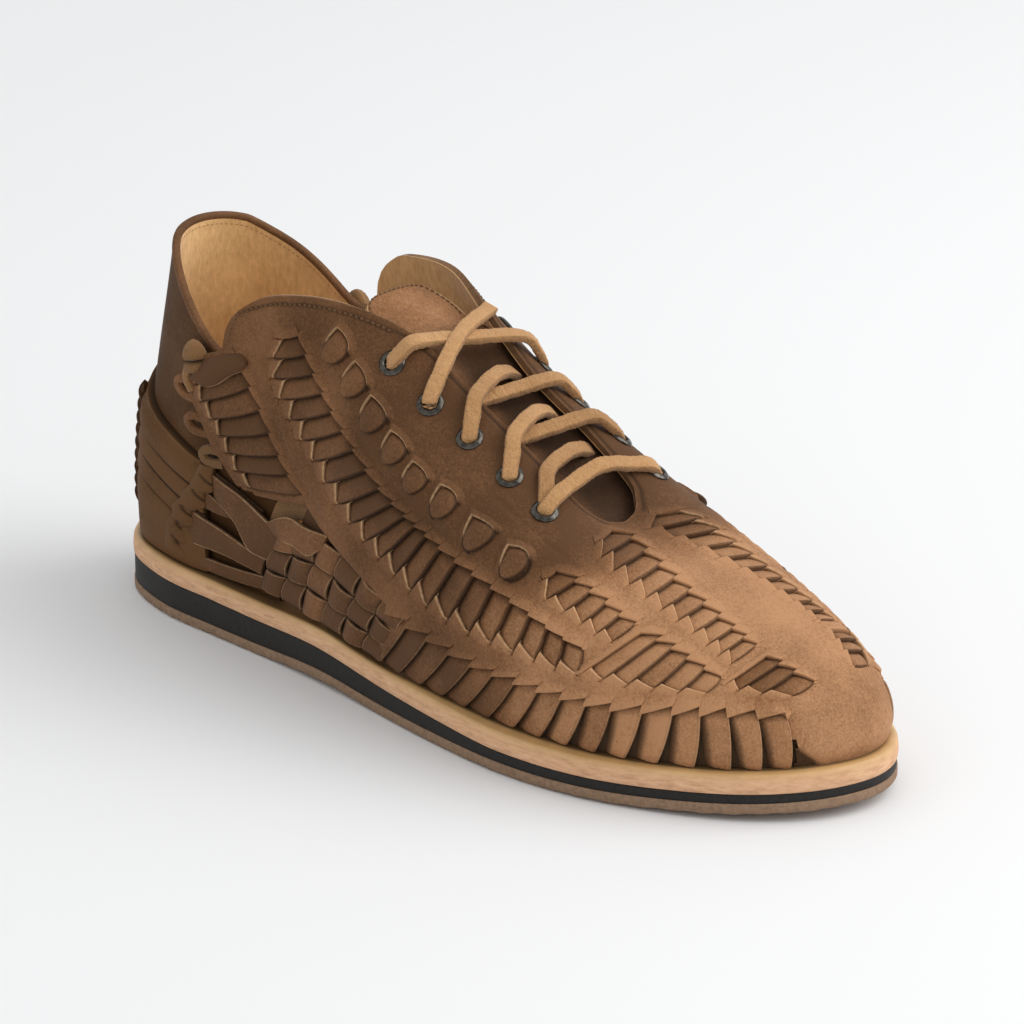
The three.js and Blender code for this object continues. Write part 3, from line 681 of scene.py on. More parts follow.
def make_sole():
    """Outsole, wedge, leather runner and sock, stacked."""
    sole_slab("outsole_sheet", [
        (2.2, sole_bottom, 0),
        (0.5, above(sole_bottom, 0.35), 0),
        (0.0, above(sole_bottom, 1.0), 0),
        (0.0, above(sole_bottom, OUTSOLE - 0.5), 0),
        (0.25, above(sole_bottom, OUTSOLE - 0.1), 0),
    ], RIM_COLUMN, TAN, "tan_rubber", ["outsole"], ragged=0.16)
    sole_slab("midsole_wedge", [
        (0.5, above(sole_bottom, OUTSOLE - 0.1), 0),
        (0.25, above(sole_bottom, OUTSOLE + 0.25), 0),
        (0.25, above(wedge_top, -0.3), 0),
        (0.5, above(wedge_top, -SHEET_GAP), 0),
    ], RIM_COLUMN, BLACK, "black_rubber", ["midsole"])
    turn = np.linspace(0, np.pi / 2, 6)
    insets, rises = RUNNER_RADIUS * (1 - np.cos(turn)), RUNNER_RADIUS * (np.sin(turn) - 1)
    # The runner's marks past 1 are painted shade near the foot of the upper; the flat cap inside is fully
    # shaded.
    rounded = [(inset, above(sole_top, rise), wax_and_painted_shade(inset, waxed))
               for inset, rise, waxed in zip(insets, rises, 0.25 + 0.75 * np.sin(turn))]
    ledge = above(sole_top, SHEET_GAP)
    sole_slab("runner_layer", [
        (0.4, wedge_top, 0),
        (0.0, above(wedge_top, 0.4), 0),
        (-0.15, above(wedge_top, 2.4), 0),
        *rounded,
        (at_least(RUNNER_EDGE, -4.1), ledge, wax_and_painted_shade(RUNNER_EDGE, 1.0)),
        (at_least(2.1, -BAND_OUT), ledge, 2.0),
        (at_least(5.0, 0.5), ledge, 2.0),
    ], RIM_COLUMN, NATURAL, "natural_leather", ["leather_runner"])
    sole_slab("sock", [
        (4.6, above(sole_top, SOLE_GAP), 0),
        (4.6, above(sole_top, SOLE_GAP + INSOLE - 0.5), 0),
        (5.1, above(sole_top, SOLE_GAP + INSOLE), 0),
    ], FOOT_COLUMN, LINING, "lining_leather", ["insole"])


# Woven rows of the upper

ROW_OVERRUN = 0.2  # share of a strip by which a row's opening goes on past its last strip
STRIP_BOW = 0.1  # share of a strip by which its boundary lines are bowed
SLIT_SAMPLES, TOOTH_SAMPLES = 9, 5


class Row:
    """One woven row: boundary lines run from its lower edge (w = 0) to its upper edge (w = 1),
    strip k lies between lines k - 1 and k. Lines are straight in space and dropped onto the last."""

    def __init__(self, keys, side):
        keys = np.asarray(keys, float)
        self.count = int(keys[-1, 0])
        low_q, up_q = mirrored(keys[:, 1], side), mirrored(keys[:, 3], side)
        self.places = np.column_stack([keys[:, 0], low_q, keys[:, 2], up_q, keys[:, 4]])
        self.space = np.column_stack([keys[:, 0], last(low_q, keys[:, 2]), last(up_q, keys[:, 4])])

    def place(self, s, w):
        """(q, v) at strip parameter s and share w along the strip."""
        s, w = np.broadcast_arrays(np.asarray(s, float), np.asarray(w, float))
        bent = s + STRIP_BOW * np.sin(np.pi * np.clip(w, 0, 1))
        ends = smooth_rows(self.space, bent)
        guess = smooth_rows(self.places, bent)
        share = w[..., None]
        points = ends[..., :3] * (1 - share) + ends[..., 3:] * share
        q = guess[..., 0] * (1 - w) + guess[..., 2] * w
        v = guess[..., 1] * (1 - w) + guess[..., 3] * w
        return drop_on(points, q, np.clip(v, 0, 1))

    def length(self, s):
        """Length of the boundary line at s."""
        ends = smooth_rows(self.space, s)
        return np.linalg.norm(ends[..., 3:] - ends[..., :3], axis=-1)

    def outline(self, low, high, start):
        """Closed (q, v) outline of the row, widened by low and high millimetres at its two edges,
        and by shares of a strip at its two ends."""
        s = np.linspace(0, self.count, 60)
        size = self.length(s)
        t = np.linspace(0, 1, 26)[1:-1]
        bulge = smoothstep(0.0, 0.14, t) * smoothstep(0.0, 0.14, 1 - t)
        low, high = -low / size, 1 + high / size
        s = np.concatenate([s, self.count + ROW_OVERRUN * bulge, s[::-1], -start * bulge])
        far, near = low[-1] + (high[-1] - low[-1]) * t, high[0] + (low[0] - high[0]) * t
        return np.stack(self.place(s, np.concatenate([low, far, high[::-1], near])), -1)


# Samples across a strip and along it, and across a lip
ACROSS = np.array([-0.16, -0.1, 0.05, 0.25, 0.5, 0.75, 0.93, 1.0, 1.04])
ALONG = np.array([-0.2, -0.1, 0.0, 0.08, 0.2, 0.35, 0.5, 0.65, 0.8, 0.92, 1.0, 1.1])
LIP_ROWS = np.array([0.0, 0.05, 0.16, 0.36, 0.62, 0.85, 1.0])


def row_strips(heap, row, gap=None, foot=False, tone=(-0.15, 0.4), edge=STRIP_EDGE, dive=1.5, raw=0.12):
    """Strips of a row, shingled: each is tucked under the one before and stands up at its forward edge.
    gap(k, w) opens the strip's rear edge; foot strips run down to the feather line; dive sinks the
    upper ends."""
    k = np.arange(row.count)[:, None, None]
    e = np.broadcast_to(ACROSS, (row.count, len(ALONG), len(ACROSS)))
    w = (np.linspace(0, 1.1, len(ALONG)) if foot else ALONG)[None, :, None]
    if gap is not None:
        e = e + np.clip(gap(k + 1, w), 0, 1) * (1 - e) * (e < 0.98)
    s, w = np.broadcast_arrays(k + e, w)
    q, v = row.place(s, w)
    share = np.clip((e - e[..., :1]) / (e[..., -1:] - e[..., :1]), 0, 1)
    height = STRIP_TUCK + (edge - STRIP_TUCK) * (0.35 * share + 0.65 * np.sin(0.5 * np.pi * share))
    height = height - 0.4 * smoothstep(0.985, 1.04, e) + 0.2 * np.sin(np.pi * np.clip(w, 0, 1))
    shade = 0.95 * (1 - smoothstep(0.12, 0.28, share))
    if foot:
        height = height - 0.5 * (1 - smoothstep(0.0, 0.12, w))
    else:
        height = height - 0.8 * (1 - smoothstep(-0.05, 0.2, w))
        shade = np.maximum(shade, 0.8 * (1 - smoothstep(-0.05, 0.08, w)))
    height = height - dive * smoothstep(0.78, 1.02, w)
    shade = np.maximum(shade, 0.85 * smoothstep(0.84, 1.0, w))
    shade = np.maximum(shade, (0.85 - raw) * (e > 0.99))
    height = np.maximum(height, LINING_OUT + 0.25)
    top = wall(q, v, height)
    bottom = wall(q, v, np.maximum(height - STRIP_THICK, LINING_OUT + SHEET_GAP))
    cut = np.zeros_like(height)
    cut[..., -1], cut[..., -2] = raw, 0.4 * raw
    tones = tone[0] + rng.uniform(-tone[1], tone[1], row.count)
    slabs(heap, top, bottom, cut=cut, tone=tones, shade=shade, under=UNDER_DARK)


def lip(heap, row, s, w, w_end, edge_height, raw=1.0, s_end=None, flush=BAND_OUT - SINK, thick=1.1,
        settle=1.0):
    """Edge of a band: a thick sheet from a zigzag line (s, w) out to a smooth line w_end.
    It settles to the flush height there, and its last row sinks into the band."""
    r = LIP_ROWS[None, :]
    s, w = s[:, None], w[:, None]
    across = w + (w_end[:, None] - w) * r
    along = np.broadcast_to(s, across.shape) if s_end is None else s + (s_end - s) * r
    q, v = row.place(along, across)
    rise = flush + (edge_height[:, None] - flush) * (1 - smoothstep(0.05, settle, r))
    rise = rise - 0.3 * (r == 0) - 0.2 * (r == 1)
    cut = np.zeros_like(rise)
    cut[:, 0], cut[:, 1] = raw, 0.45 * raw
    # Painted light: the lip is paler at its raised edge, where it catches the light, fading into the band.
    tone = 0.4 * (1 - smoothstep(0.1, 0.9, r))
    sheet(heap, q, v, rise, np.maximum(rise - thick, 0.4), cut=cut, tone=tone)


def zigzag(count, notch):
    """Saw line of a band's lower edge in (s, w): along each slit from (k - 1, notch) to (k, 0), then up the
    next strip's edge to (k, notch). Gives s, w and how far each sample stands along its slit."""
    t = np.linspace(0, 1, SLIT_SAMPLES)
    u = np.linspace(0, 1, TOOTH_SAMPLES + 1)[1:-1]
    k = np.arange(count)[:, None]
    slit = np.stack([k + t, notch * (1 - t) + 0 * k, t + 0 * k], -1)
    tooth = np.stack([k + 1 + 0 * u, notch * u + 0 * k, -u + 0 * k], -1)
    line = np.concatenate([slit, tooth], 1).reshape(-1, 3)
    return line[:, 0], line[:, 1], line[:, 2]


def row_lips(heap, row, notch, top_notch, low_reach, high_reach, crest,
             end_reach=0.75, swell=0.4, brim=3.3, far_foot=-0.02):
    """Lips along both edges of a row. Slit edges stand over the strip; teeth run under the strip's forward
    edge. crest and swell set the height of the upper lip and its bulge over each strip, brim the height of
    the lower lip, far_foot where the lip past the last strip begins."""
    def beyond(line, first, final):
        """A line with one more sample at each end."""
        return np.concatenate([[first], line, [final]])

    if low_reach:
        s, w, t = zigzag(row.count, notch)
        high = smoothstep(0.0, 0.14, t) * (1 - 0.55 * smoothstep(0.9, 1.0, t)) * (t >= 0)
        height = beyond(LIP_LOW + (brim - LIP_LOW) * high, BAND_OUT - 0.1, BAND_OUT - 0.1)
        s = beyond(s, -0.14, row.count + 0.22)
        lip(heap, row, s, beyond(w, 0.0, 0.0), -low_reach / row.length(s), height)
    if high_reach:
        s, w, t = zigzag(row.count, top_notch)
        height = crest + swell * np.sin(np.pi * np.clip(t, 0, 1)) - 0.3 * (t < 0)
        s = beyond(s, -0.16, row.count + 0.24)
        lip(heap, row, s, 1 - beyond(w, 0.0, 0.0), 1 + high_reach / row.length(s),
            beyond(height, BAND_OUT, BAND_OUT), raw=0.15)
    if end_reach:
        w = np.linspace(-0.03, 0.99, 17)
        lip(heap, row, np.full_like(w, 0.04), w, w, np.full_like(w, brim - 0.3), raw=0.3,
            s_end=-end_reach, thick=2.2)
    w = np.linspace(far_foot, 1.02, 17)
    lip(heap, row, np.full_like(w, row.count - 0.12), w, w, np.full_like(w, LIP_LOW + 0.1), raw=0.0,
        s_end=row.count + 0.5, flush=BAND_OUT + 0.05, settle=0.5)


# Boundary lines of each row: strip number, then (q, v) of the line's lower and upper end
SIDE_ROW = [
    [0, 5.08, 0.143, 5.48, 0.128], [2, 5.10, 0.278, 5.85, 0.24], [4, 5.50, 0.40, 6.30, 0.328],
    [6, 6.02, 0.498, 6.80, 0.402], [8, 6.58, 0.583, 7.28, 0.463], [10, 7.08, 0.642, 7.70, 0.487],
    [12, 7.58, 0.682, 8.02, 0.50], [14, 8.07, 0.716, 8.45, 0.518], [16, 8.64, 0.728, 8.95, 0.53],
    [18, 9.23, 0.716, 9.48, 0.552], [20, 9.80, 0.708, 9.95, 0.585], [21, 10.08, 0.705, 10.2, 0.602],
]
LONG_ROW = [
    [0, 10.12, 0.702, 11.36, 0.464], [1, 10.42, 0.70, 11.55, 0.487], [2, 10.75, 0.70, 11.70, 0.515],
    [3, 11.10, 0.698, 11.83, 0.552], [4, 11.45, 0.695, 11.98, 0.592], [5, 11.80, 0.695, 12.12, 0.633],
]
EYE_ROW = [
    [0, 9.65, 0.405, 9.85, 0.338], [1, 9.70, 0.475, 10.25, 0.33], [2, 9.97, 0.485, 10.52, 0.352],
    [3, 10.22, 0.507, 10.78, 0.382], [4, 10.43, 0.53, 10.98, 0.42], [5, 10.66, 0.546, 11.18, 0.45],
]
VAMP_ROW = [
    [0, 10.80, 0.15, 12.1, 0.035], [1, 10.87, 0.208, 13.3, 0.06], [2, 11.10, 0.252, 13.12, 0.118],
    [4, 11.60, 0.338, 12.98, 0.235], [6, 12.00, 0.415, 12.97, 0.342], [8, 12.25, 0.505, 13.03, 0.443],
    [10, 12.38, 0.583, 13.08, 0.52],
]
CAP_ROW = [
    [0, 12.12, 0.66, 13.18, 0.555], [1, 12.27, 0.682, 13.26, 0.592], [2, 12.56, 0.70, 13.36, 0.63],
    [3, 12.98, 0.722, 13.5, 0.683],
]
FINGER_ROW = [
    [0, 6.95, 0.985, 7.50, 0.785], [2, 7.55, 0.992, 8.10, 0.80], [4, 8.18, 1.0, 8.70, 0.81],
    [6, 8.80, 1.0, 9.28, 0.80], [8, 9.48, 1.0, 9.88, 0.79], [10, 10.18, 1.0, 10.50, 0.783],
    [12, 10.95, 1.0, 11.30, 0.757], [14, 11.85, 1.0, 11.98, 0.75], [16, 12.62, 1.0, 12.73, 0.78],
]
LADDER_ROW = [
    [0, 3.64, 0.262, 4.42, 0.178], [1, 3.62, 0.315, 4.58, 0.238], [2, 3.75, 0.367, 4.73, 0.302],
    [3, 3.98, 0.418, 4.96, 0.38], [4, 4.16, 0.473, 5.18, 0.45], [5, 4.33, 0.533, 5.40, 0.513],
    [6, 4.52, 0.592, 5.62, 0.562], [7, 4.80, 0.64, 5.92, 0.607],
]
# Rear edge of the quarter: height and ring place
REAR_V = (0, 0.015, 0.04, 0.08, 0.15, 0.19, 0.25, 0.30, 0.37, 0.41, 0.45, 0.48, 0.53, 0.56, 0.61, 0.66, 1.0)
REAR_Q = (4.75, 4.46, 4.30, 4.20, 4.15, 3.75, 3.42, 3.36, 3.46, 3.62, 3.76, 3.86, 4.02, 4.16, 4.37, 4.6, 5.0)
# Part of the side below the quarter that is closed only by the open plait
OPEN_SIDE = np.array([
    [4.40, 0.645], [5.10, 0.655], [5.85, 0.628], [6.30, 0.675], [6.95, 0.735], [7.45, 0.78], [7.75, 0.80],
    [7.75, 1.2], [3.0, 1.2], [3.0, 0.7],
])
# Upper edge of the gap between the last finger and the toe cap: ring place and height
NOTCH_Q = (12.62, 13.05)
NOTCH_V = (0.875, 0.985)
EYELETS = [(6.95, 0.118), (7.6, 0.145), (8.23, 0.14), (8.88, 0.148), (9.52, 0.16)]
EYELET_HOLE = 3.1
LINING_HOLE = 2.3
BAND_GRID = (420, 110)
LINING_GRID = (320, 84)
ROLL_WIDTH = 3.4
LUMP_HEIGHT, LUMP_WIDTH = 1.1, 3.2
# Middle lines of the bands that stand up in a roll, with the roll's height
ROLLED_BANDS = [
    ([(4.78, 0.21), (4.88, 0.27), (5.08, 0.345), (5.34, 0.42), (5.62, 0.485), (5.95, 0.545),
      (6.35, 0.615)], 0.75),
    ([(6.35, 0.615), (6.85, 0.68), (7.4, 0.728), (8.1, 0.763), (8.8, 0.768), (9.6, 0.755),
      (10.6, 0.742)], 0.4),
]


def rear_edge(v):
    """Ring place of the quarter's rear edge at heights v."""
    return np.interp(v, REAR_V, REAR_Q)


def finger_gap(k, w):
    """Dark wedge between fingers: it opens towards the sole, and widens towards the toe."""
    return 0.40 * smoothstep(6.0, 11.0, k) * np.clip(1 - w, 0, 1) ** 0.8


# How each row is woven: its lines, its strips, the notches and reach of its lower and upper lip, more of the
# lips, and how far its opening in the bands goes past its lower and upper edge and its start
TALL = {"crest": 3.2}
FLAT = {"crest": 2.75, "swell": 0.1, "brim": 3.0}
FLAT_SHORT = dict(FLAT, end_reach=0.45)
CALM = {"tone": (-0.1, 0.3), "edge": 2.7, "dive": 0.8}
DUSKY = dict(CALM, tone=(-0.6, 0.3))
FINGERS = {"gap": finger_gap, "foot": True, "tone": (0.0, 0.4), "raw": 0.6}
FINGER_LIPS = {"crest": 3.2, "end_reach": 0.0, "swell": 0.3, "far_foot": 0.55}
WOVEN = [
    (SIDE_ROW, {}, (0.3, 0.08, 4.0, 4.0), TALL, (1.2, 1.2, 0.12)),
    (LADDER_ROW, {}, (0.12, 0.06, 3.0, 4.0), TALL, (1.0, 1.2, 0.12)),
    (EYE_ROW, CALM, (0.28, 0.2, 2.6, 4.0), FLAT, (1.0, 1.2, 0.12)),
    (VAMP_ROW, CALM, (0.28, 0.2, 4.0, 4.0), FLAT, (1.2, 1.2, 0.12)),
    (LONG_ROW, CALM, (0.16, 0.14, 4.0, 4.0), FLAT_SHORT, (1.2, 1.2, 0.12)),
    (CAP_ROW, DUSKY, (0.16, 0.14, 4.0, 3.0), FLAT_SHORT, (1.2, 1.0, 0.12)),
    (FINGER_ROW, FINGERS, (0.0, 0.16, 0.0, 4.0), FINGER_LIPS, (9.0, 1.2, 0.0)),
]


def make_upper():
    """Strips and lips of the woven rows on both sides, then the bands between them and the lining behind."""
    openings, open_sides = [], []
    for side, name in SIDES:
        strips, lips = Heap(), Heap()
        for lines, strip_look, lip_shape, lip_look, opening in WOVEN:
            row = Row(lines, side)
            row_strips(strips, row, **strip_look)
            row_lips(lips, row, *lip_shape, **lip_look)
            openings.append(row.outline(*opening))
        strips.piece(f"woven_strips_{name}", BROWN, "brown_leather")
        lips.piece(f"band_edges_{name}", BROWN, "brown_leather")
        open_sides.append(np.column_stack([mirrored(OPEN_SIDE[:, 0], side), OPEN_SIDE[:, 1]]))
    make_bands(openings + open_sides)
    make_lining(open_sides)


def upper_grid(columns, rows):
    """Places (q, v) of a grid over the woven wall, from the lateral rear edge round the toe to the medial."""
    c = np.linspace(0, 2, columns)[:, None]
    v = np.concatenate([np.linspace(0, 0.03, 4)[:-1], np.linspace(0.03, 1, rows)])[None, :]
    c, v = np.broadcast_arrays(c, v)
    half = np.where(c <= 1, c, 2 - c)
    q = rear_edge(v) * (1 - half) + TOE * half
    return np.where(c <= 1, q, ROUND - q), v


def near_line(points, line):
    """Distance of grid points to the nearest of a line's samples."""
    flat = points.reshape(-1, 3)
    far = np.full(len(flat), 1e9)
    for place in line:
        far = np.minimum(far, ((flat - place) ** 2).sum(-1))
    return np.sqrt(far).reshape(points.shape[:-1])


def groove(across, width, folded, start, end):
    """Soft line where across is near 0, faded in from start and out to end along the folded ring place."""
    line = np.exp(-(across / width) ** 2)
    return line * smoothstep(start[0], start[1], folded) * smoothstep(end[1], end[0], folded)


def cells_kept(q, v, outlines, hole):
    """True for the cells of a grid whose middle lies outside all outlines and the eyelets' round holes."""
    q, v = (0.25 * (a[:-1, :-1] + a[1:, :-1] + a[1:, 1:] + a[:-1, 1:]) for a in (q, v))
    keep = np.ones(q.shape, bool)
    for outline in outlines:
        keep &= ~inside_outline(q, v, outline)
    centres = last(q, v)
    for side, _ in SIDES:
        for eyelet_q, eyelet_v in EYELETS:
            middle = last(mirrored(eyelet_q, side), eyelet_v)
            keep &= np.linalg.norm(centres - middle, axis=-1) > hole
    return keep


def make_bands(outlines):
    """Plain leather between the rows, cut away under them. It stands at one height out from the last, with
    a thinner collar, a thicker toe cap, sunk lines along seam, hem and crease, a recess beside the toe cap,
    and soft rolls and lumps as Gauss bells of the distance to their middle."""
    q, v = upper_grid(*BAND_GRID)
    folded = np.minimum(q, ROUND - q)
    collar = 1 - smoothstep(0.0, 0.02, v)
    cap = smoothstep(12.5, 13.1, folded) * smoothstep(0.62, 0.74, v)
    crease = groove(v - 0.255 - 0.02 * (q - 9), 0.012, folded, (8.4, 9.0), (9.6, 10.3))
    foot_roll = smoothstep(0.93, 1.0, v) * smoothstep(12.5, 12.9, folded)
    seam = groove(v - 0.021, 0.005, folded, (6.6, 7.0), (11.6, 12.2))
    hem = groove(v - 0.03, 0.006, folded, (4.3, 4.6), (6.7, 7.0))
    notch = smoothstep(0.0, 0.02, v - np.interp(folded, NOTCH_Q, NOTCH_V)) * smoothstep(12.4, 12.6, folded)
    notch = notch * (1 - smoothstep(13.0, 13.08, folded))
    out = BAND_OUT - 0.35 * collar + 0.1 * cap - 0.3 * crease - 0.8 * foot_roll
    out = out - 0.35 * seam - 0.3 * hem - 1.0 * notch
    surface = last(q, v)
    for side, _ in SIDES:
        for line, height in ROLLED_BANDS:
            line = np.asarray(line)
            middle = curve_through(last(mirrored(line[:, 0], side), line[:, 1]), 60)
            out = out + height * np.exp(-(near_line(surface, middle) / ROLL_WIDTH) ** 2)
        for (_, _, foot_q, foot_v, _), (top_q, top_v, *_) in zip(PEBBLES[:-1], PEBBLES[1:]):
            lump = last(mirrored(0.5 * (foot_q + top_q) - 0.12, side), 0.5 * (foot_v + top_v) + 0.028)
            far = np.linalg.norm(surface - lump, axis=-1)
            out = out + LUMP_HEIGHT * np.exp(-(far / LUMP_WIDTH) ** 2)
    bands = Heap()
    cut = 0.3 * (1 - smoothstep(0.0, 0.016, v))
    back = BAND_IN - (BAND_IN - LINING_OUT - SHEET_GAP) * (1 - smoothstep(0.0, 0.04, v))
    # Painted shade darkens the seam, the hem and the recess beside the toe cap.
    masked_slab(bands, wall(q, v, out), wall(q, v, back), cells_kept(q, v, outlines, EYELET_HOLE), cut=cut,
                shade=np.maximum(np.maximum(0.85 * seam, 0.6 * hem), notch))
    bands.piece("upper_bands", BROWN, "brown_leather", ["upper"])


def make_lining(outlines):
    """Suede behind the whole wall, toned down as painted shade, and painted dark as shade behind the fingers.
    """
    q, v = upper_grid(*LINING_GRID)
    folded = np.minimum(q, ROUND - q)
    painted_gap_shade = smoothstep(0.78, 0.86, v) * smoothstep(6.9, 7.2, folded) * (1 - smoothstep(13.05, 13.2, folded))
    lining = Heap()
    masked_slab(lining, wall(q, v, LINING_OUT), wall(q, v, LINING_IN),
                cells_kept(q, v, outlines, LINING_HOLE), tone=-0.7, shade=painted_gap_shade)
    lining.piece("upper_lining", LINING, "lining_leather")


# Pebbles: teardrops of strip that swell out through slits along the eyestay

PEBBLES = [
    # top q, top v, foot q, foot v, half width
    (6.06, 0.085, 6.15, 0.19, 5.0), (6.47, 0.168, 6.58, 0.266, 5.0), (6.86, 0.243, 7.02, 0.333, 4.9),
    (7.27, 0.303, 7.42, 0.376, 4.5), (7.66, 0.338, 7.78, 0.412, 4.5), (8.10, 0.342, 8.24, 0.418, 4.9),
    (8.58, 0.362, 8.75, 0.438, 5.0), (9.12, 0.376, 9.30, 0.447, 5.0),
]

# Rings of a pebble and of the slit round it, as shares of its outline, and by ring how far the slit's edge
# is raised round the top, how it lies round the foot, and how pale it is
PEBBLE_RINGS = np.array([0.02, 0.3, 0.55, 0.75, 0.9, 0.97, 1.0])[:, None]
SLIT_RINGS = np.array([0.96, 1.01, 1.08, 1.16, 1.3, 1.55])[:, None]
SLIT_RAISED = np.array([0.85, 1.25, 1.25, 0.95, 0.4, 0.0])[:, None]
SLIT_LOW = np.array([-0.2, 0.12, 0.12, 0.12, 0.0, -0.1])[:, None]
SLIT_PALE = np.array([0.8, 0.8, 0.25, 0.0, 0.0, 0.0])[:, None]
PEBBLE_THICK = 1.3


def make_pebbles():
    """Each pebble is a thick scale over a teardrop outline, x = sin a sin(a/2), y = cos a: its pointed top is
    sunk under the pale raised edge of a slit, its round foot stands clear and throws a shadow, with painted
    shade along its rim and a painted shadow on the slit's edge below its foot."""
    angle = np.linspace(0, 2 * np.pi, 41)
    r = PEBBLE_RINGS
    dome = BAND_OUT + 0.6 - 1.5 * np.cos(angle) * r + 1.3 * (1 - r ** 3) ** 0.6
    for side, name in SIDES:
        forward = np.clip(side * np.sin(angle), 0, 1)
        fade = smoothstep(-0.05, 0.3, np.cos(angle) + 0.55 * forward)
        # painted shade along the pebble's rim, and a painted shadow on the slit's edge below its foot
        painted_rim_shade = 0.9 * smoothstep(0.8, 0.97, r) * fade + 0.85 * smoothstep(0.93, 0.99, r) * (1 - fade)
        collar = BAND_OUT - SINK + SLIT_RAISED * fade + SLIT_LOW * (1 - fade)
        painted_foot_shadow = 0.95 * (1 - fade) * (1 - smoothstep(1.12, 1.4, SLIT_RINGS))
        drops = Heap()
        for top_q, top_v, foot_q, foot_v, half in PEBBLES:
            top, foot = last(mirrored(top_q, side), top_v), last(mirrored(foot_q, side), foot_v)
            middle_q, middle_v = mirrored(0.5 * (top_q + foot_q), side), 0.5 * (top_v + foot_v)
            up = unit(top - foot)
            across = unit(np.cross(normal(middle_q, middle_v), up))
            skew = 1 + rng.uniform(-0.14, 0.14) * np.cos(angle) + rng.uniform(-0.1, 0.1) * np.sin(2 * angle)
            x = 1.22 * half * np.sin(angle) * np.sin(angle / 2) ** 0.9 * skew
            y = (0.5 * np.linalg.norm(top - foot) + 0.5) * np.cos(angle)
            for share, height, cut, tone, shade in (
                    (r, dome, 0.0, rng.uniform(0.0, 0.5), painted_rim_shade),
                    (SLIT_RINGS, collar, SLIT_PALE * fade, 0.25, painted_foot_shadow)):
                points = (top + foot) / 2 + across * (x * share)[..., None] + up * (y * share)[..., None]
                q, v = (np.full(points.shape[:2], middle) for middle in (middle_q, middle_v))
                q, v = drop_on(points, q, v)
                sheet(drops, q, v, height, height - PEBBLE_THICK, cut=cut, tone=tone, shade=shade)
        drops.piece(f"pebbles_{name}", BROWN, "brown_leather")


# Tall back, heel strips, fan, plait and ties

COUNTER_FRONT = 5.15  # ring place where the back ends under the quarters
COUNTER_TOP_Q = (0, 1.6, 2.5, 3.2, 3.75, 4.3, 5.15)
COUNTER_TOP_V = (0, 0.004, 0.05, 0.115, 0.165, 0.2, 0.28)
HEEL_LINES = np.array([
    # q, then the heights of the lines between the wound strips
    [0.0, 0.47, 0.565, 0.640, 0.720, 1.0], [1.6, 0.525, 0.620, 0.690, 0.765, 1.0],
    [2.5, 0.563, 0.655, 0.727, 0.800, 1.0], [3.7, 0.612, 0.705, 0.790, 0.860, 1.0],
])


def counter_top(q):
    """Height of the back's collar edge at ring places q."""
    keys = np.column_stack([COUNTER_TOP_Q, COUNTER_TOP_V])
    return np.clip(smooth_rows(keys, np.abs(q))[..., 0], 0, 1)


def make_counter():
    """Smooth leather back with its suede lining; a rolled binding covers their edges."""
    c = np.linspace(-COUNTER_FRONT, COUNTER_FRONT, 150)[:, None]
    r = np.concatenate([[0, 0.004, 0.012], np.linspace(0.03, 1, 30)])[None, :]
    c, r = np.broadcast_arrays(c, r)
    v = counter_top(c)
    v = v + (1 - v) * r
    # Painted light and shade on the lining: lighter across the back and lateral side, darker towards the
    # medial front and lower down.
    fall = 0.4 * smoothstep(-2.4, -0.9, c) - 0.5 * smoothstep(-2.4, -3.6, c) - 0.4 * smoothstep(0.15, 0.5, r)
    roll = 0.35 * (1 - smoothstep(0, 0.012, r))
    rim = (r < 0.006) * 1.0
    for name, top, bottom, tone, material, slot, replaces in (
            ("counter_shell", COUNTER_OUT - roll, COUNTER_MID, 0.0, DARK, "dark_leather", ["heel_counter"]),
            ("counter_lining", COUNTER_MID - SHEET_GAP, COUNTER_IN + roll, fall, LINING, "lining_leather",
             [])):
        heap = Heap()
        slabs(heap, wall(c, v, top)[None], wall(c, v, bottom)[None], cut=rim, tone=tone)
        heap.piece(name, material, slot, replaces)
    binding = Heap()
    c = np.linspace(-5.13, 5.13, 210)
    v = counter_top(c) + 0.008
    path = wall(c, v, 0.5 * (COUNTER_OUT + COUNTER_IN))
    sweep(binding, path, normal(c, v), rounded_box(2.2, 2.6, 0.9, 3), tone=-0.1)
    binding.piece("collar_binding", BROWN, "brown_leather")


# Strips of the fan: upper edge, lower edge, lift, arch, dip of the two ends, tone, shade
FAN = [
    ([(3.70, 0.612), (4.30, 0.655), (4.95, 0.715)],
     [(3.85, 0.65), (4.50, 0.70), (5.0, 0.75)], 0.3, 0.2, (0, 0), -1.2, 0.85),
    ([(3.90, 0.632), (4.55, 0.672), (5.08, 0.725), (5.50, 0.77)],
     [(4.0, 0.712), (4.47, 0.768), (4.75, 0.845), (5.08, 0.865)], 1.9, 0.9, (0.6, 0.9), -0.3, 0.0),
    ([(3.70, 0.70), (4.10, 0.73), (4.38, 0.765)],
     [(3.65, 0.765), (4.05, 0.768), (4.38, 0.77)], 1.3, 0.3, (0, 0), -0.2, 0.0),
    ([(3.38, 0.80), (4.20, 0.818), (5.02, 0.868)],
     [(3.15, 0.915), (4.25, 0.90), (4.92, 0.922)], 1.7, 0.9, (0.5, 0.9), -0.1, 0.0),
    ([(3.30, 0.952), (4.32, 0.938), (5.02, 0.926)],
     [(3.30, 0.992), (4.30, 0.98), (4.98, 0.968)], 1.3, 0.6, (0, 0.4), 0.0, 0.0),
]
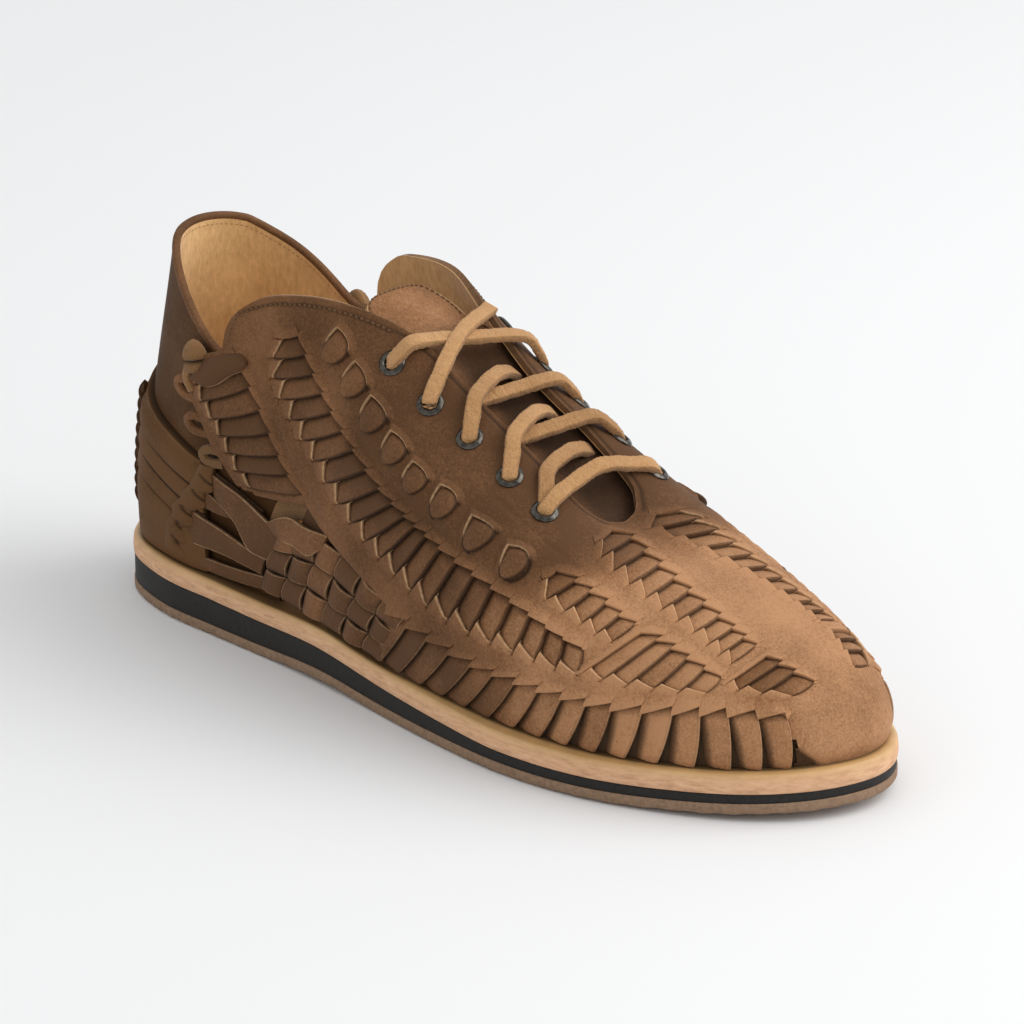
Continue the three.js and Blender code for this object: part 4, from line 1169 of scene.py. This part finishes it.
# Upper and lower edge of single strips
LUMP = (
    [(3.57, 0.292), (3.64, 0.246), (3.80, 0.214), (4.05, 0.178), (4.34, 0.170), (4.53, 0.184), (4.64, 0.218)],
    [(3.59, 0.300), (3.70, 0.308), (3.88, 0.303), (4.10, 0.284), (4.34, 0.254), (4.58, 0.243), (4.65, 0.226)],
)
SIDE_EDGE = (
    [(5.95, 0.600), (6.40, 0.650), (7.0, 0.710), (7.50, 0.757), (7.95, 0.780)],
    [(5.85, 0.622), (6.30, 0.685), (6.95, 0.745), (7.45, 0.790), (7.85, 0.812)],
)
TAN_PATCH = ([(5.30, 0.645), (5.62, 0.628), (6.02, 0.605)], [(5.10, 0.735), (5.48, 0.715), (5.90, 0.690)])
SQUARE = ([(6.0, 0.615), (6.45, 0.655)], [(5.80, 0.705), (6.38, 0.735)])
STRAP = (
    [(5.15, 0.735), (5.65, 0.690), (6.02, 0.697), (6.43, 0.692)],
    [(5.36, 0.768), (5.80, 0.768), (6.10, 0.776), (6.34, 0.732)],
)
PLAIT = (
    [(5.40, 0.745), (5.95, 0.725), (6.50, 0.712), (7.10, 0.755), (7.75, 0.795)],
    [(4.95, 0.958), (5.70, 0.975), (6.50, 0.985), (7.30, 0.985)],
)
PLAIT_COLUMNS, PLAIT_ROWS = 6, 3
# Edges of the heel post, as height and ring place, and the heights of its slits
POST_REAR = np.array([[0.600, 3.74], [0.705, 3.48], [0.738, 3.30], [0.763, 3.28], [0.802, 3.05],
                      [0.838, 3.05], [0.872, 2.85], [0.91, 2.85], [0.992, 2.72]])
POST_FRONT = np.array([[0.600, 4.02], [0.635, 3.98], [0.70, 4.0], [0.706, 3.80], [0.765, 3.82], [0.80, 3.48],
                       [0.85, 3.56], [0.865, 3.28], [0.92, 3.40], [0.93, 3.18], [0.992, 3.48]])
POST_SLITS = (0.668, 0.738, 0.815, 0.878, 0.938)
# Loops of the tie behind the quarter's rear edge and its neck, as ring place, height and height out
TIE_LOOPS = [
    [(3.50, 0.338, 0.4), (3.27, 0.336, 1.5), (3.14, 0.362, 1.9), (3.27, 0.388, 1.5), (3.55, 0.388, 0.4)],
    [(3.76, 0.443, 0.4), (3.55, 0.442, 1.5), (3.43, 0.468, 1.9), (3.56, 0.494, 1.5), (3.86, 0.492, 0.4)],
    [(4.08, 0.540, 0.4), (3.90, 0.540, 1.5), (3.79, 0.563, 1.9), (3.91, 0.588, 1.5), (4.18, 0.585, 0.4)],
]
TIE_NECK = [(3.56, 0.25, 2.8), (3.47, 0.28, 3.0), (3.45, 0.315, 2.8), (3.52, 0.35, 1.8)]
# Rows of the tie's knot: radius, height and shade
KNOT_ROLL = [(1.2, -4.4, 0.9), (3.0, -4.2, 0.7), (4.0, -3.3, 0.45), (4.2, -2.3, 0.4), (3.9, -1.3, 0.5),
             (3.0, -0.6, 0.9), (1.2, -0.4, 0.95)]
KNOT_CAP = [(1.2, -0.3, 0.95), (3.4, -0.1, 0.9), (4.1, 0.5, 0.5), (4.1, 1.6, 0.35), (3.6, 3.1, 0.35),
            (2.8, 4.5, 0.3), (1.7, 5.6, 0.3), (0.6, 6.1, 0.3)]
KNOT_PLACE = (3.60, 0.222)
KNOT_UP = np.array([-0.16, 0.0, 1.0])
# Laced seams on the heel: ring places, number of crossings, height of the first and step to the next
BRAID_AT, BRAID_COUNT, BRAID_START, BRAID_STEP = (-1.32, 1.32), 9, 0.555, 0.041
HEEL_END = 3.75  # ring place where the wound strips end under the post
# Samples across a heel strip, a ribbon, the post and a strip of the plait
HEEL_ACROSS = np.array([-0.1, -0.05, 0.0, 0.025, 0.05, 0.08, 0.12, 0.18, 0.26, 0.36, 0.5, 0.8, 0.94, 0.985,
                        1.0])
RIBBON_ACROSS = np.array([0, 0.05, 0.2, 0.4, 0.6, 0.8, 0.95, 1.0])
POST_ACROSS = np.array([0, 0.04, 0.12, 0.28, 0.45, 0.6, 0.74, 0.88, 0.96, 1.0])
PLAIT_ACROSS = np.array([-0.44, -0.41, -0.25, 0.0, 0.25, 0.41, 0.44])


def make_heel():
    """Strips wound round the heel, the slit post over their ends, the fan of long strips, the back braid."""
    strips = Heap()
    q = np.linspace(-HEEL_END, HEEL_END, 90)[:, None]
    lines = [np.interp(np.abs(q), HEEL_LINES[:, 0], line) for line in HEEL_LINES[:, 1:].T]
    share = HEEL_ACROSS
    for k, (high, low) in enumerate(zip(lines[:-1], lines[1:])):
        v = np.minimum(high + (low - high) * share, 0.997)
        near = share * (4 if k == 3 else 1)
        height = 1.1 + 1.3 * np.sin(0.5 * np.pi * np.clip(near, 0, 1)) - 0.3 * smoothstep(0.94, 1.0, share)
        # Painted shade in the line where each strip tucks under the one above.
        dark = 1 - smoothstep(0.15, 0.27, near)
        if k == 0:
            height = -1.3 + 2.1 * smoothstep(-0.06, 0.04, share) + 1.6 * smoothstep(0.04, 0.6, share)
            # Painted shade in the gap under the back's edge.
            dark = 0.95 * (1 - smoothstep(-0.02, 0.03, share))
        height = height - 0.6 * smoothstep(3.4, HEEL_END, np.abs(q))
        cut = np.zeros(v.shape)
        cut[:, -2], cut[:, -1], cut[:, 4] = 0.2, 0.3, 0.5 * (k == 0)
        sheet(strips, q, v, height, np.maximum(height - 1.8, -2.4), cut=cut,
              tone=1.3 + rng.uniform(-0.4, 0.4), shade=dark)
    for side, _ in SIDES:
        heel_post(strips, side)
    strips.piece("heel_strips", DARK, "dark_leather", ["heel_band"])
    for side, name in SIDES:
        fan, patch = Heap(), Heap()
        for upper, lower, lift, arch, ends, tone, shade in FAN:
            ribbon(fan, side, upper, lower, lift, arch, ends=ends, tone=tone, shade=shade)
        ribbon(fan, side, *LUMP, 2.6, 0.4, puff=2.0, thick=2.6, raw=(0.0, 0.7), tone=-0.9)
        ribbon(fan, side, *SIDE_EDGE, 2.3, 0.0, puff=0.4, thick=1.5, raw=(0.0, 0.6), tone=0.1)
        # Dark sheet behind the plait: painted shade seen through its gaps.
        ribbon(fan, side, *PLAIT, -0.3, 0.0, puff=0.0, raw=(0.0, 0.0), tone=-1.0, shade=0.9)
        ribbon(fan, side, *SQUARE, 0.9, 0.1, raw=(0.0, 0.0), tone=-1.0, shade=0.35)
        ribbon(fan, side, *STRAP, 3.7, 0.5, thick=1.5, ends=(1.2, 0.9))
        fan.piece(f"heel_fan_{name}", BROWN, "brown_leather")
        ribbon(patch, side, *TAN_PATCH, -0.1, 0.1, raw=(0.0, 0.0), tone=-1.4, shade=0.4)
        patch.piece(f"side_patch_{name}", THONG, "thong_leather")
        plait(side, name)
    back_braid()


def edge_line(line, side, count):
    """Even samples of a smooth line in space through (q, v) points: x, y, z, and a first guess of q and v."""
    line = np.asarray(line, float)
    q, v = mirrored(line[:, 0], side), line[:, 1]
    scale = np.array([20, 100, 1])
    guess = curve_through(np.column_stack([q, v, 0 * q]) * scale, count) / scale
    return np.column_stack([curve_through(last(q, v), count), guess[:, :2]])


def drop_between(first, second, share):
    """Places (q, v) on the last of points at a share between the samples of two edge lines."""
    both = first * (1 - share) + second * share
    return drop_on(both[..., :3], both[..., 3], np.clip(both[..., 4], 0, 1))


def ribbon(heap, side, upper, lower, lift, arch, puff=0.3, thick=1.2, raw=(0.8, 0.8), tone=0.0,
           ends=(0.0, 0.0), shade=0.0):
    """A strip between two edge lines of (q, v) points, each drawn smooth in space and dropped onto the last.
    It stands lift out, arches over its length, puffs across its width and dips by ends at its two ends."""
    t = np.linspace(0, 1, 26)[:, None]
    e = RIBBON_ACROSS[None, :]
    upper, lower = (edge_line(line, side, len(t))[:, None] for line in (upper, lower))
    q, v = drop_between(upper, lower, e[..., None])
    height = lift + arch * np.sin(np.pi * t) + puff * np.sin(np.pi * e) ** 0.7
    height = height - ends[0] * (1 - smoothstep(0, 0.25, t)) - ends[1] * smoothstep(0.75, 1, t)
    cut = np.zeros(q.shape)
    cut[:, 0], cut[:, -1] = raw
    sheet(heap, q, v, height, height - thick, cut=cut, tone=tone, shade=shade)


def heel_post(heap, side):
    """Rolled strap over the ends of the heel strips: its rear edge is stepped, its front slit where the fan
    goes in."""
    v = np.linspace(0.6, 0.992, 120)
    soft = np.exp(-np.linspace(-2, 2, 9) ** 2)
    edges = []
    for line in (POST_REAR, POST_FRONT):
        q = np.interp(v, line[:, 0], line[:, 1])
        edges.append(np.convolve(np.pad(q, 4, "edge"), soft / soft.sum(), "valid")[:, None])
    e = POST_ACROSS[None, :]
    q = mirrored(edges[0] + (edges[1] - edges[0]) * e, side)
    v = np.broadcast_to(v[:, None], q.shape)
    slit = np.zeros(q.shape)
    for at in POST_SLITS:
        slit = slit + np.exp(-((v - at + 0.05 * (1 - e)) / 0.005) ** 2) * smoothstep(0.3, 0.5, e)
    slit = np.clip(slit, 0, 1)
    height = 2.2 + 1.2 * np.sin(np.pi * e) ** 0.6 - 0.4 * slit - 0.9 * smoothstep(0.96, 0.992, v)
    cut = np.zeros(q.shape)
    cut[:, 0], cut[:, -1] = 0.25, 0.35
    sheet(heap, q, v, height, np.minimum(height - 1.7, 0.9), cut=cut, tone=1.2,
          shade=np.maximum(slit, 0.55 * (e < 0.03)))


def plait(side, name):
    """Open basket of strips below the quarter: cells in turn show the strip along the sole and the one
    across it."""
    at = np.linspace(0, 1, 81)
    top, foot = (edge_line(line, side, len(at)) for line in PLAIT)
    t = np.linspace(-0.66, 0.66, 11)[:, None]
    e = PLAIT_ACROSS[None, :]
    hump = np.cos(np.pi * np.clip(t / 1.32, -0.5, 0.5)) ** 0.7
    height = 0.4 + 2.7 * hump + 0.15 * np.cos(e * 3)
    cut = 0.8 * (np.abs(e) > 0.43)
    shade = 0.95 * smoothstep(0.36, 0.56, np.abs(t))
    heap = Heap()
    for i in range(PLAIT_COLUMNS):
        for j in range(PLAIT_ROWS):
            along, up = np.broadcast_arrays(*((t, e) if (i + j) % 2 == 0 else (e, t)))
            u = (i + 0.5 + along) / PLAIT_COLUMNS
            w = ((j + 0.5 + up) / PLAIT_ROWS)[..., None]
            q, v = drop_between(sampled(u, at, foot), sampled(u, at, top), w)
            sheet(heap, q, v, height, height - 1.2, cut=cut, tone=rng.uniform(-0.8, 0.5), shade=shade)
    heap.piece(f"plait_{name}", BROWN, "brown_leather")


def back_braid():
    """Laced seams up both sides of the heel's back: runs of small crossed thongs."""
    heap = Heap()
    profile = rounded_box(3.0, 2.0, 0.8)
    t = np.linspace(-1, 1, 13)
    for middle in BRAID_AT:
        for k in range(BRAID_COUNT):
            v = BRAID_START + BRAID_STEP * k + 0.02 * t
            for hand in (-1, 1):
                q = middle + hand * 0.13 * t
                path = wall(q, v, 1.2 + 1.3 * np.cos(t * 1.4) + 0.25 * hand)
                sweep(heap, path, normal(q, v), profile, tone=rng.uniform(-1.2, -0.3))
    heap.piece("heel_braid", DARK, "dark_leather")


def turned(heap, base, axis, lean, outline, tone):
    """A lumpy solid of revolution: (radius, height, shade) rows turned about an axis, closed at both ends."""
    axis = unit(axis)
    x = unit(np.cross(axis, lean))
    y = np.cross(axis, x)
    angle = np.linspace(0, 2 * np.pi, 29)[:-1]
    outline = np.asarray(outline, float)
    lump = 1 + 0.09 * np.sin(3 * angle + 0.6) + 0.06 * np.sin(5 * angle)
    around = (np.cos(angle) * lump)[:, None] * x + 0.82 * (np.sin(angle) * lump)[:, None] * y
    points = base + outline[:, None, :1] * around[None] + outline[:, None, 1:2] * axis
    faces = facing_out(points, tube_faces(*points.shape[:2]))
    heap.add(points, faces, tone=tone, shade=np.repeat(outline[:, 2], len(angle)))


def tie_cord(heap, side, line, count, middle, profile, tone, shade):
    """A thong through (q, v, height out) points, its profile upright at one of them."""
    q, v, out = np.array(line).T
    q = mirrored(q, side)
    path = curve_through(wall(q, v, out), count)
    sweep(heap, path, normal(q[middle], v[middle]), profile, tone=tone, shade=shade)


def make_ties():
    """Thong looped behind the quarter's rear edge, led up to a knot at the corner of the collar."""
    for side, name in SIDES:
        knot, loops = Heap(), Heap()
        for line in TIE_LOOPS[:2]:
            tie_cord(loops, side, line, 34, 2, rounded_box(3.0, 2.8, 1.25), rng.uniform(0.1, 0.4), 0.1)
        loops.piece(f"tie_loops_{name}", BROWN, "brown_leather")
        tie_cord(knot, side, TIE_LOOPS[2], 34, 2, rounded_box(3.2, 3.0, 1.3), -1.8, 0.62)
        tie_cord(knot, side, TIE_NECK, 24, 1, rounded_box(3.4, 3.0, 1.2), -1.1, 0.25)
        q, v = mirrored(KNOT_PLACE[0], side), KNOT_PLACE[1]
        for outline, tone in ((KNOT_ROLL, -1.4), (KNOT_CAP, -1.2)):
            turned(knot, wall(q, v, 2.6), KNOT_UP, normal(q, v), outline, tone)
        knot.piece(f"tie_thong_{name}", THONG, "thong_leather", [f"tie_{name}"])


# Tongue, eyelets and lace

TONGUE_OUT, TONGUE_THICK, TONGUE_SIDE = -2.1, 1.8, 0.28
TONGUE_EDGE = 0.45  # share of the net's half width where it leaves the last
TONGUE_NET = np.array([-1, -0.72, -TONGUE_EDGE, 0, TONGUE_EDGE, 0.72, 1])
TONGUE_TOP = [(0.33, 16, 2.5), (0.66, 16.5, 2.6), (0.92, 13, 1.6), (1, 8, 0.6)]
TONGUE_PEAK = np.array([110.5, -4.5, 118.5])
TONGUE_ROWS, TONGUE_COLUMNS = 90, 40
TONGUE_FRONT, TONGUE_REAR = 12.4, 7.1  # ring places of the first and last row under the throat
TONGUE_LOW_ROWS = 7
THROAT_V = 0.005


def tongue_net(under):
    """Coarse net of the tongue: rows under the throat follow the last, the rows above lead to the peak."""
    net = []
    for row in range(TONGUE_LOW_ROWS):
        q = TONGUE_FRONT + (TONGUE_REAR - TONGUE_FRONT) * row / (TONGUE_LOW_ROWS - 1)
        line = []
        for u in TONGUE_NET:
            if abs(u) >= TONGUE_EDGE:
                v = THROAT_V + (TONGUE_SIDE - THROAT_V) * (abs(u) - TONGUE_EDGE) / (1 - TONGUE_EDGE)
                line.append(wall(mirrored(q, np.sign(u)), v, TONGUE_OUT - under))
            else:
                ends = [wall(mirrored(q, side), THROAT_V, TONGUE_OUT - under) for side, _ in SIDES]
                line.append((ends[0] + ends[1]) / 2 + np.array([0, 0, -0.88 if row == 0 else -1.2]))
        net.append(line)
    start = net[-1][len(TONGUE_NET) // 2] + np.array([0, 0, under])
    down = np.array([-0.45, 0, -0.89]) * under
    for share, half, fall in TONGUE_TOP:
        middle = start + (TONGUE_PEAK - start) * share
        net.append([middle + np.array([0, u * half, -fall * u * u]) + down for u in TONGUE_NET])
    return np.array(net)


def refine(net, count):
    """Smooth samples of a net along its first axis."""
    keys = np.column_stack([np.arange(len(net)), net.reshape(len(net), -1)])
    return smooth_rows(keys, np.linspace(0, len(net) - 1, count)).reshape(count, *net.shape[1:])


def tongue_face(under):
    """Fine grid of the tongue at a depth under its face, refined along its rows and then its columns."""
    rows = refine(tongue_net(under), TONGUE_ROWS)
    return refine(rows.transpose(1, 0, 2), TONGUE_COLUMNS).transpose(1, 0, 2)


def make_tongue():
    """Tongue leather with its suede underside; down in the throat it is painted with shade, deepest by the
    medial edge."""
    outer, inner = tongue_face(0.0), tongue_face(TONGUE_THICK)
    middle = 0.45 * outer + 0.55 * inner
    stations = np.arange(len(TONGUE_NET))
    across = np.interp(np.linspace(0, stations[-1], TONGUE_COLUMNS), stations, TONGUE_NET)[None, :]
    below = 1 - smoothstep(46, 60, np.arange(TONGUE_ROWS))[:, None]
    shade = below * (0.15 + 0.85 * smoothstep(-0.5, 0.0, across))
    for name, top, bottom, tone, material, slot, replaces in (
            ("tongue_leather", outer, middle, 1.05, BROWN, "brown_leather", ["tongue"]),
            ("tongue_lining", middle, inner, -0.5, LINING, "lining_leather", [])):
        heap = Heap()
        slabs(heap, top[None], bottom[None], tone=tone, shade=shade)
        heap.piece(name, material, slot, replaces)
    return outer


# Outline of an eyelet: radius and height out from the last
EYELET_PROFILE = np.array([
    [2.15, -0.3], [2.15, 2.6], [2.35, 3.15], [2.8, 3.45], [3.3, 3.4], [3.8, 3.1], [4.15, 2.75],
    [4.2, 2.45], [3.2, 2.4], [2.8, 2.2], [2.8, -0.3],
])


def make_eyelets():
    """Rolled metal rings: a round-shouldered profile turned about each eyelet's axis."""
    angle = np.linspace(0, 2 * np.pi, 33)[:-1, None]
    k = np.arange(len(angle) * len(EYELET_PROFILE)).reshape(len(angle), -1)
    a, b = np.roll(k, -1, 0), np.roll(k, -1, 1)
    quads = np.stack([k, a, np.roll(a, -1, 1), b], -1).reshape(-1, 4)
    for side, name in SIDES:
        heap = Heap()
        for q, v in EYELETS:
            centre = last(mirrored(q, side), v)
            z = normal(mirrored(q, side), v)
            x = unit(np.cross(z, [0, 0, 1.0]))
            y = np.cross(z, x)
            spokes = np.cos(angle) * x + np.sin(angle) * y
            points = centre + spokes[:, None] * EYELET_PROFILE[:, :1] + z * EYELET_PROFILE[:, 1:]
            heap.add(points, facing_out(points, [quads]))
        heap.piece(f"eyelet_rings_{name}", METAL, "gunmetal", [f"eyelet_{name}_{k + 1}" for k in range(5)])


LACE_WIDTH, LACE_THICK = 4.9, 2.6
LACE_SAMPLES, CORD_STATIONS = 140, 36


def eye(k, side, out):
    """Point on the axis of eyelet k at a height out from the last."""
    q, v = EYELETS[k - 1]
    return wall(mirrored(q, side), v, out)


def rim_point(q, side, out, v=0.02):
    """Point over the throat's edge."""
    return wall(mirrored(q, side), v, out)


def between(a, b, share, lift=0.0):
    """Point between two others, lifted."""
    return a + (b - a) * share + np.array([0, 0, lift])


def climb(k, side, crest, rim, share, start=(-1.0, 2.5)):
    """Points of a thong from inside eyelet k up to a crest, which leans by a share towards a rim point."""
    return [*(eye(k, side, out) for out in start), between(eye(k, side, crest), rim, share), rim]


def thong(heap, points, tone):
    """A flat thong through points, its broad face turned out from the foot's axis, its edges dark."""
    count = LACE_SAMPLES
    path = curve_through(points, count)
    axis = np.column_stack([path[:, 0] - 25, 0 * path[:, 1], np.full(count, 45.0)])
    profile = rounded_box(LACE_WIDTH, LACE_THICK, 0.7)
    wave = 1 + 0.03 * np.sin(np.linspace(0, 40, count))[:, None, None]
    ragged = rng.uniform(-0.11, 0.11, (count, len(profile), 2))
    rim = np.tile(0.8 * (np.abs(profile[:, 0]) > 0.5 * LACE_WIDTH - 0.45), count)
    sweep(heap, path, unit(path - axis), profile * wave + ragged, cut=rim, tone=tone)
    return path


def make_lace():
    """One leather thong: a bar at the bottom, two crossings, the top strand and its free cut end."""
    bar = Heap()
    a, b = rim_point(9.75, -1, 5.2), rim_point(9.75, 1, 5.2)
    thong(bar, [*climb(5, -1, 5.0, a, 0.4), between(a, b, 0.5, 3.0), *climb(5, 1, 5.0, b, 0.4)[::-1]], 0.2)
    a, b = rim_point(9.34, -1, 4.0), rim_point(9.02, 1, -2.0, 0.03)
    thong(bar, [*climb(5, -1, 3.2, a, 0.45, (-1.5, 1.2)), between(a, b, 0.45, 2.0), between(a, b, 0.8, 0.2),
                rim_point(9.02, 1, -5.0, 0.06)], -0.3)
    bar.piece("lace_bar_thong", THONG, "thong_leather", ["lace_bar"])
    for k, node in ((4, "lace_cross_low"), (3, "lace_cross_high")):
        heap = Heap()
        q = EYELETS[k - 1][0]
        a, b = rim_point(q - 0.16, -1, 5.6), rim_point(q - 0.5, 1, -2.0, 0.03)
        thong(heap, [*climb(k, -1, 4.6, a, 0.45), between(a, b, 0.45, 2.8), between(a, b, 0.8, 0.6),
                     rim_point(q - 0.5, 1, -5.0, 0.06)], rng.uniform(-0.2, 0.4))
        a, b = rim_point(q - 0.05, 1, 5.2), rim_point(q - 0.18, -1, 1.6)
        thong(heap, [*climb(k, 1, 4.6, a, 0.45), between(a, b, 0.5, 0.2), b], rng.uniform(-0.6, 0.0))
        heap.piece(f"{node}_thong", THONG, "thong_leather", [node])
    top = Heap()
    a, b = rim_point(7.12, -1, 4.6), rim_point(7.5, 1, 5.6)
    thong(top, [*climb(1, -1, 4.6, a, 0.4), between(a, b, 0.5, 0.4), *climb(2, 1, 4.8, b, 0.4)[::-1]], 0.3)
    top.piece("lace_top_thong", THONG, "thong_leather", ["lace_top"])
    free = Heap()
    tip = rim_point(7.0, 1, 7.6, 0.0) + np.array([-2.4, -2.4, -3.2])
    lift = eye(2, -1, 6.5)
    path = thong(free, [eye(2, -1, -1.0), eye(2, -1, 2.8), between(lift, tip, 0.08),
                        between(lift, tip, 0.5, 5.4), tip], 0.3)
    end = free.piece("lace_free_end", THONG, "thong_leather", ["lace_end"])


# Stitching

STITCH_RINGS, STITCH_SIDES = 6, 6
# Pitch, length and half width of the stitches
QUARTER_STITCH = (1.9, 1.4, 0.42)
COLLAR_STITCH = (1.7, 1.3, 0.26)
TONGUE_STITCH = (1.9, 1.4, 0.3)


def stitches(heap, path, ups, pitch, length, width):
    """Capsule stitches laid end to end along a path, a few dozen faces each."""
    run = run_length(path)
    at = np.arange(pitch, run[-1] - pitch, pitch)
    along = unit(sampled(at, run, np.gradient(path, run, axis=0)))
    up = unit(sampled(at, run, ups))
    axes = np.stack([along, np.cross(along, up), up], 1)
    t = np.linspace(-1, 1, STITCH_RINGS)[:, None, None]
    a = np.linspace(0, 2 * np.pi, STITCH_SIDES + 1)[:-1]
    girth = width * np.sqrt(np.clip(1.02 - t ** 4, 0.02, 1))
    ring = np.stack([0 * a, np.cos(a), 0.6 * np.sin(a)], -1)
    offset = t * length / 2 * np.array([1.0, 0, 0]) + girth * ring
    points = sampled(at, run, path)[:, None, None] + np.einsum("tac,kcd->ktad", offset, axes)
    faces = facing_out(points[0], tube_faces(STITCH_RINGS, STITCH_SIDES))
    each = (np.arange(len(at)) * STITCH_RINGS * STITCH_SIDES)[:, None, None]
    heap.add(points, [(f[None] + each).reshape(-1, f.shape[1]) for f in faces])


def make_stitching(tongue):
    """Rows of stitches: quarter collar, tongue top, and round the lined collar of the back."""
    heap, collar = Heap(), Heap()
    corner_v = np.linspace(0.14, 0.035, 12)
    edge_q = np.linspace(4.45, 6.85, 160)
    v = np.concatenate([corner_v, np.full(len(edge_q), 0.03)])
    for side, _ in SIDES:
        q = mirrored(np.concatenate([rear_edge(corner_v) + 0.1, edge_q]), side)
        stitches(heap, wall(q, v, BAND_OUT), normal(q, v), *QUARTER_STITCH)
    c = np.linspace(-3.6, 3.6, 160)
    v = counter_top(c) + 0.036
    stitches(collar, wall(c, v, COUNTER_IN + 0.05), -normal(c, v), *COLLAR_STITCH)
    collar.piece("collar_stitches", THONG, "thong_leather")
    rim = np.concatenate([tongue[62:86, 2], tongue[86, 3:-3], tongue[85:61:-1, -3]])
    stitches(heap, rim + np.array([0.05, 0, 0.25]), np.tile([0.4, 0, 0.9], (len(rim), 1)), *TONGUE_STITCH)
    heap.piece("stitches", THREAD, "dark_leather")


# Camera, light and floor

AZIMUTH, ELEVATION = 44.9, 20.5
DISTANCE = 1.8
LENS = 165.5 * 1.25
SENSOR = 36.0
AIM = Vector((0.0, 0.009, 0.053))
KEY_PLACE = Vector((1.05, 0.85, 1.15))
KEY_AIM = Vector((0, 0, 0.04))
KEY_SIZE, KEY_POWER = 1.7, 21.0
SKY = (0.98, 0.99, 1.0, 1.0)
SURROUND = 0.75
FLOOR_HALF = 12.0
FLOOR_GREY = (0.88, 0.88, 0.88, 1.0)


def make_stage():
    """Camera at the photograph's angle, one large soft key from the upper right, pale surroundings and a
    pale floor."""
    scene = bpy.context.scene
    a, e = math.radians(AZIMUTH), math.radians(ELEVATION)
    back = Vector((math.sin(a) * math.cos(e), -math.cos(a) * math.cos(e), math.sin(e)))
    camera = bpy.data.objects.new("camera", bpy.data.cameras.new("camera"))
    camera.data.lens = LENS
    camera.data.sensor_width = SENSOR
    camera.data.clip_end = 50.0
    camera.location = AIM + back * DISTANCE
    camera.rotation_euler = (-back).to_track_quat("-Z", "Y").to_euler()
    scene.collection.objects.link(camera)
    scene.camera = camera
    key = bpy.data.objects.new("key", bpy.data.lights.new("key", "AREA"))
    key.data.energy = KEY_POWER
    key.data.size = KEY_SIZE
    key.location = KEY_PLACE
    key.rotation_euler = (KEY_AIM - KEY_PLACE).to_track_quat("-Z", "Y").to_euler()
    scene.collection.objects.link(key)
    world = bpy.data.worlds.new("studio")
    world.use_nodes = True
    world.node_tree.nodes["Background"].inputs["Color"].default_value = SKY
    world.node_tree.nodes["Background"].inputs["Strength"].default_value = SURROUND
    scene.world = world
    mesh = bpy.data.meshes.new("floor")
    corners = [(x * FLOOR_HALF, y * FLOOR_HALF, 0) for x, y in ((-1, -1), (1, -1), (1, 1), (-1, 1))]
    mesh.from_pydata(corners, [], [(0, 1, 2, 3)])
    mesh.materials.append(Look("pale_floor").paint({"Base Color": FLOOR_GREY, "Roughness": 0.9}))
    floor = bpy.data.objects.new("floor", mesh)
    scene.collection.objects.link(floor)
    scene.view_settings.view_transform = "Standard"


make_stage()
make_lace()
make_sole()
make_upper()
make_pebbles()
make_counter()
make_heel()
make_ties()
tongue_grid = make_tongue()
make_eyelets()
make_stitching(tongue_grid)
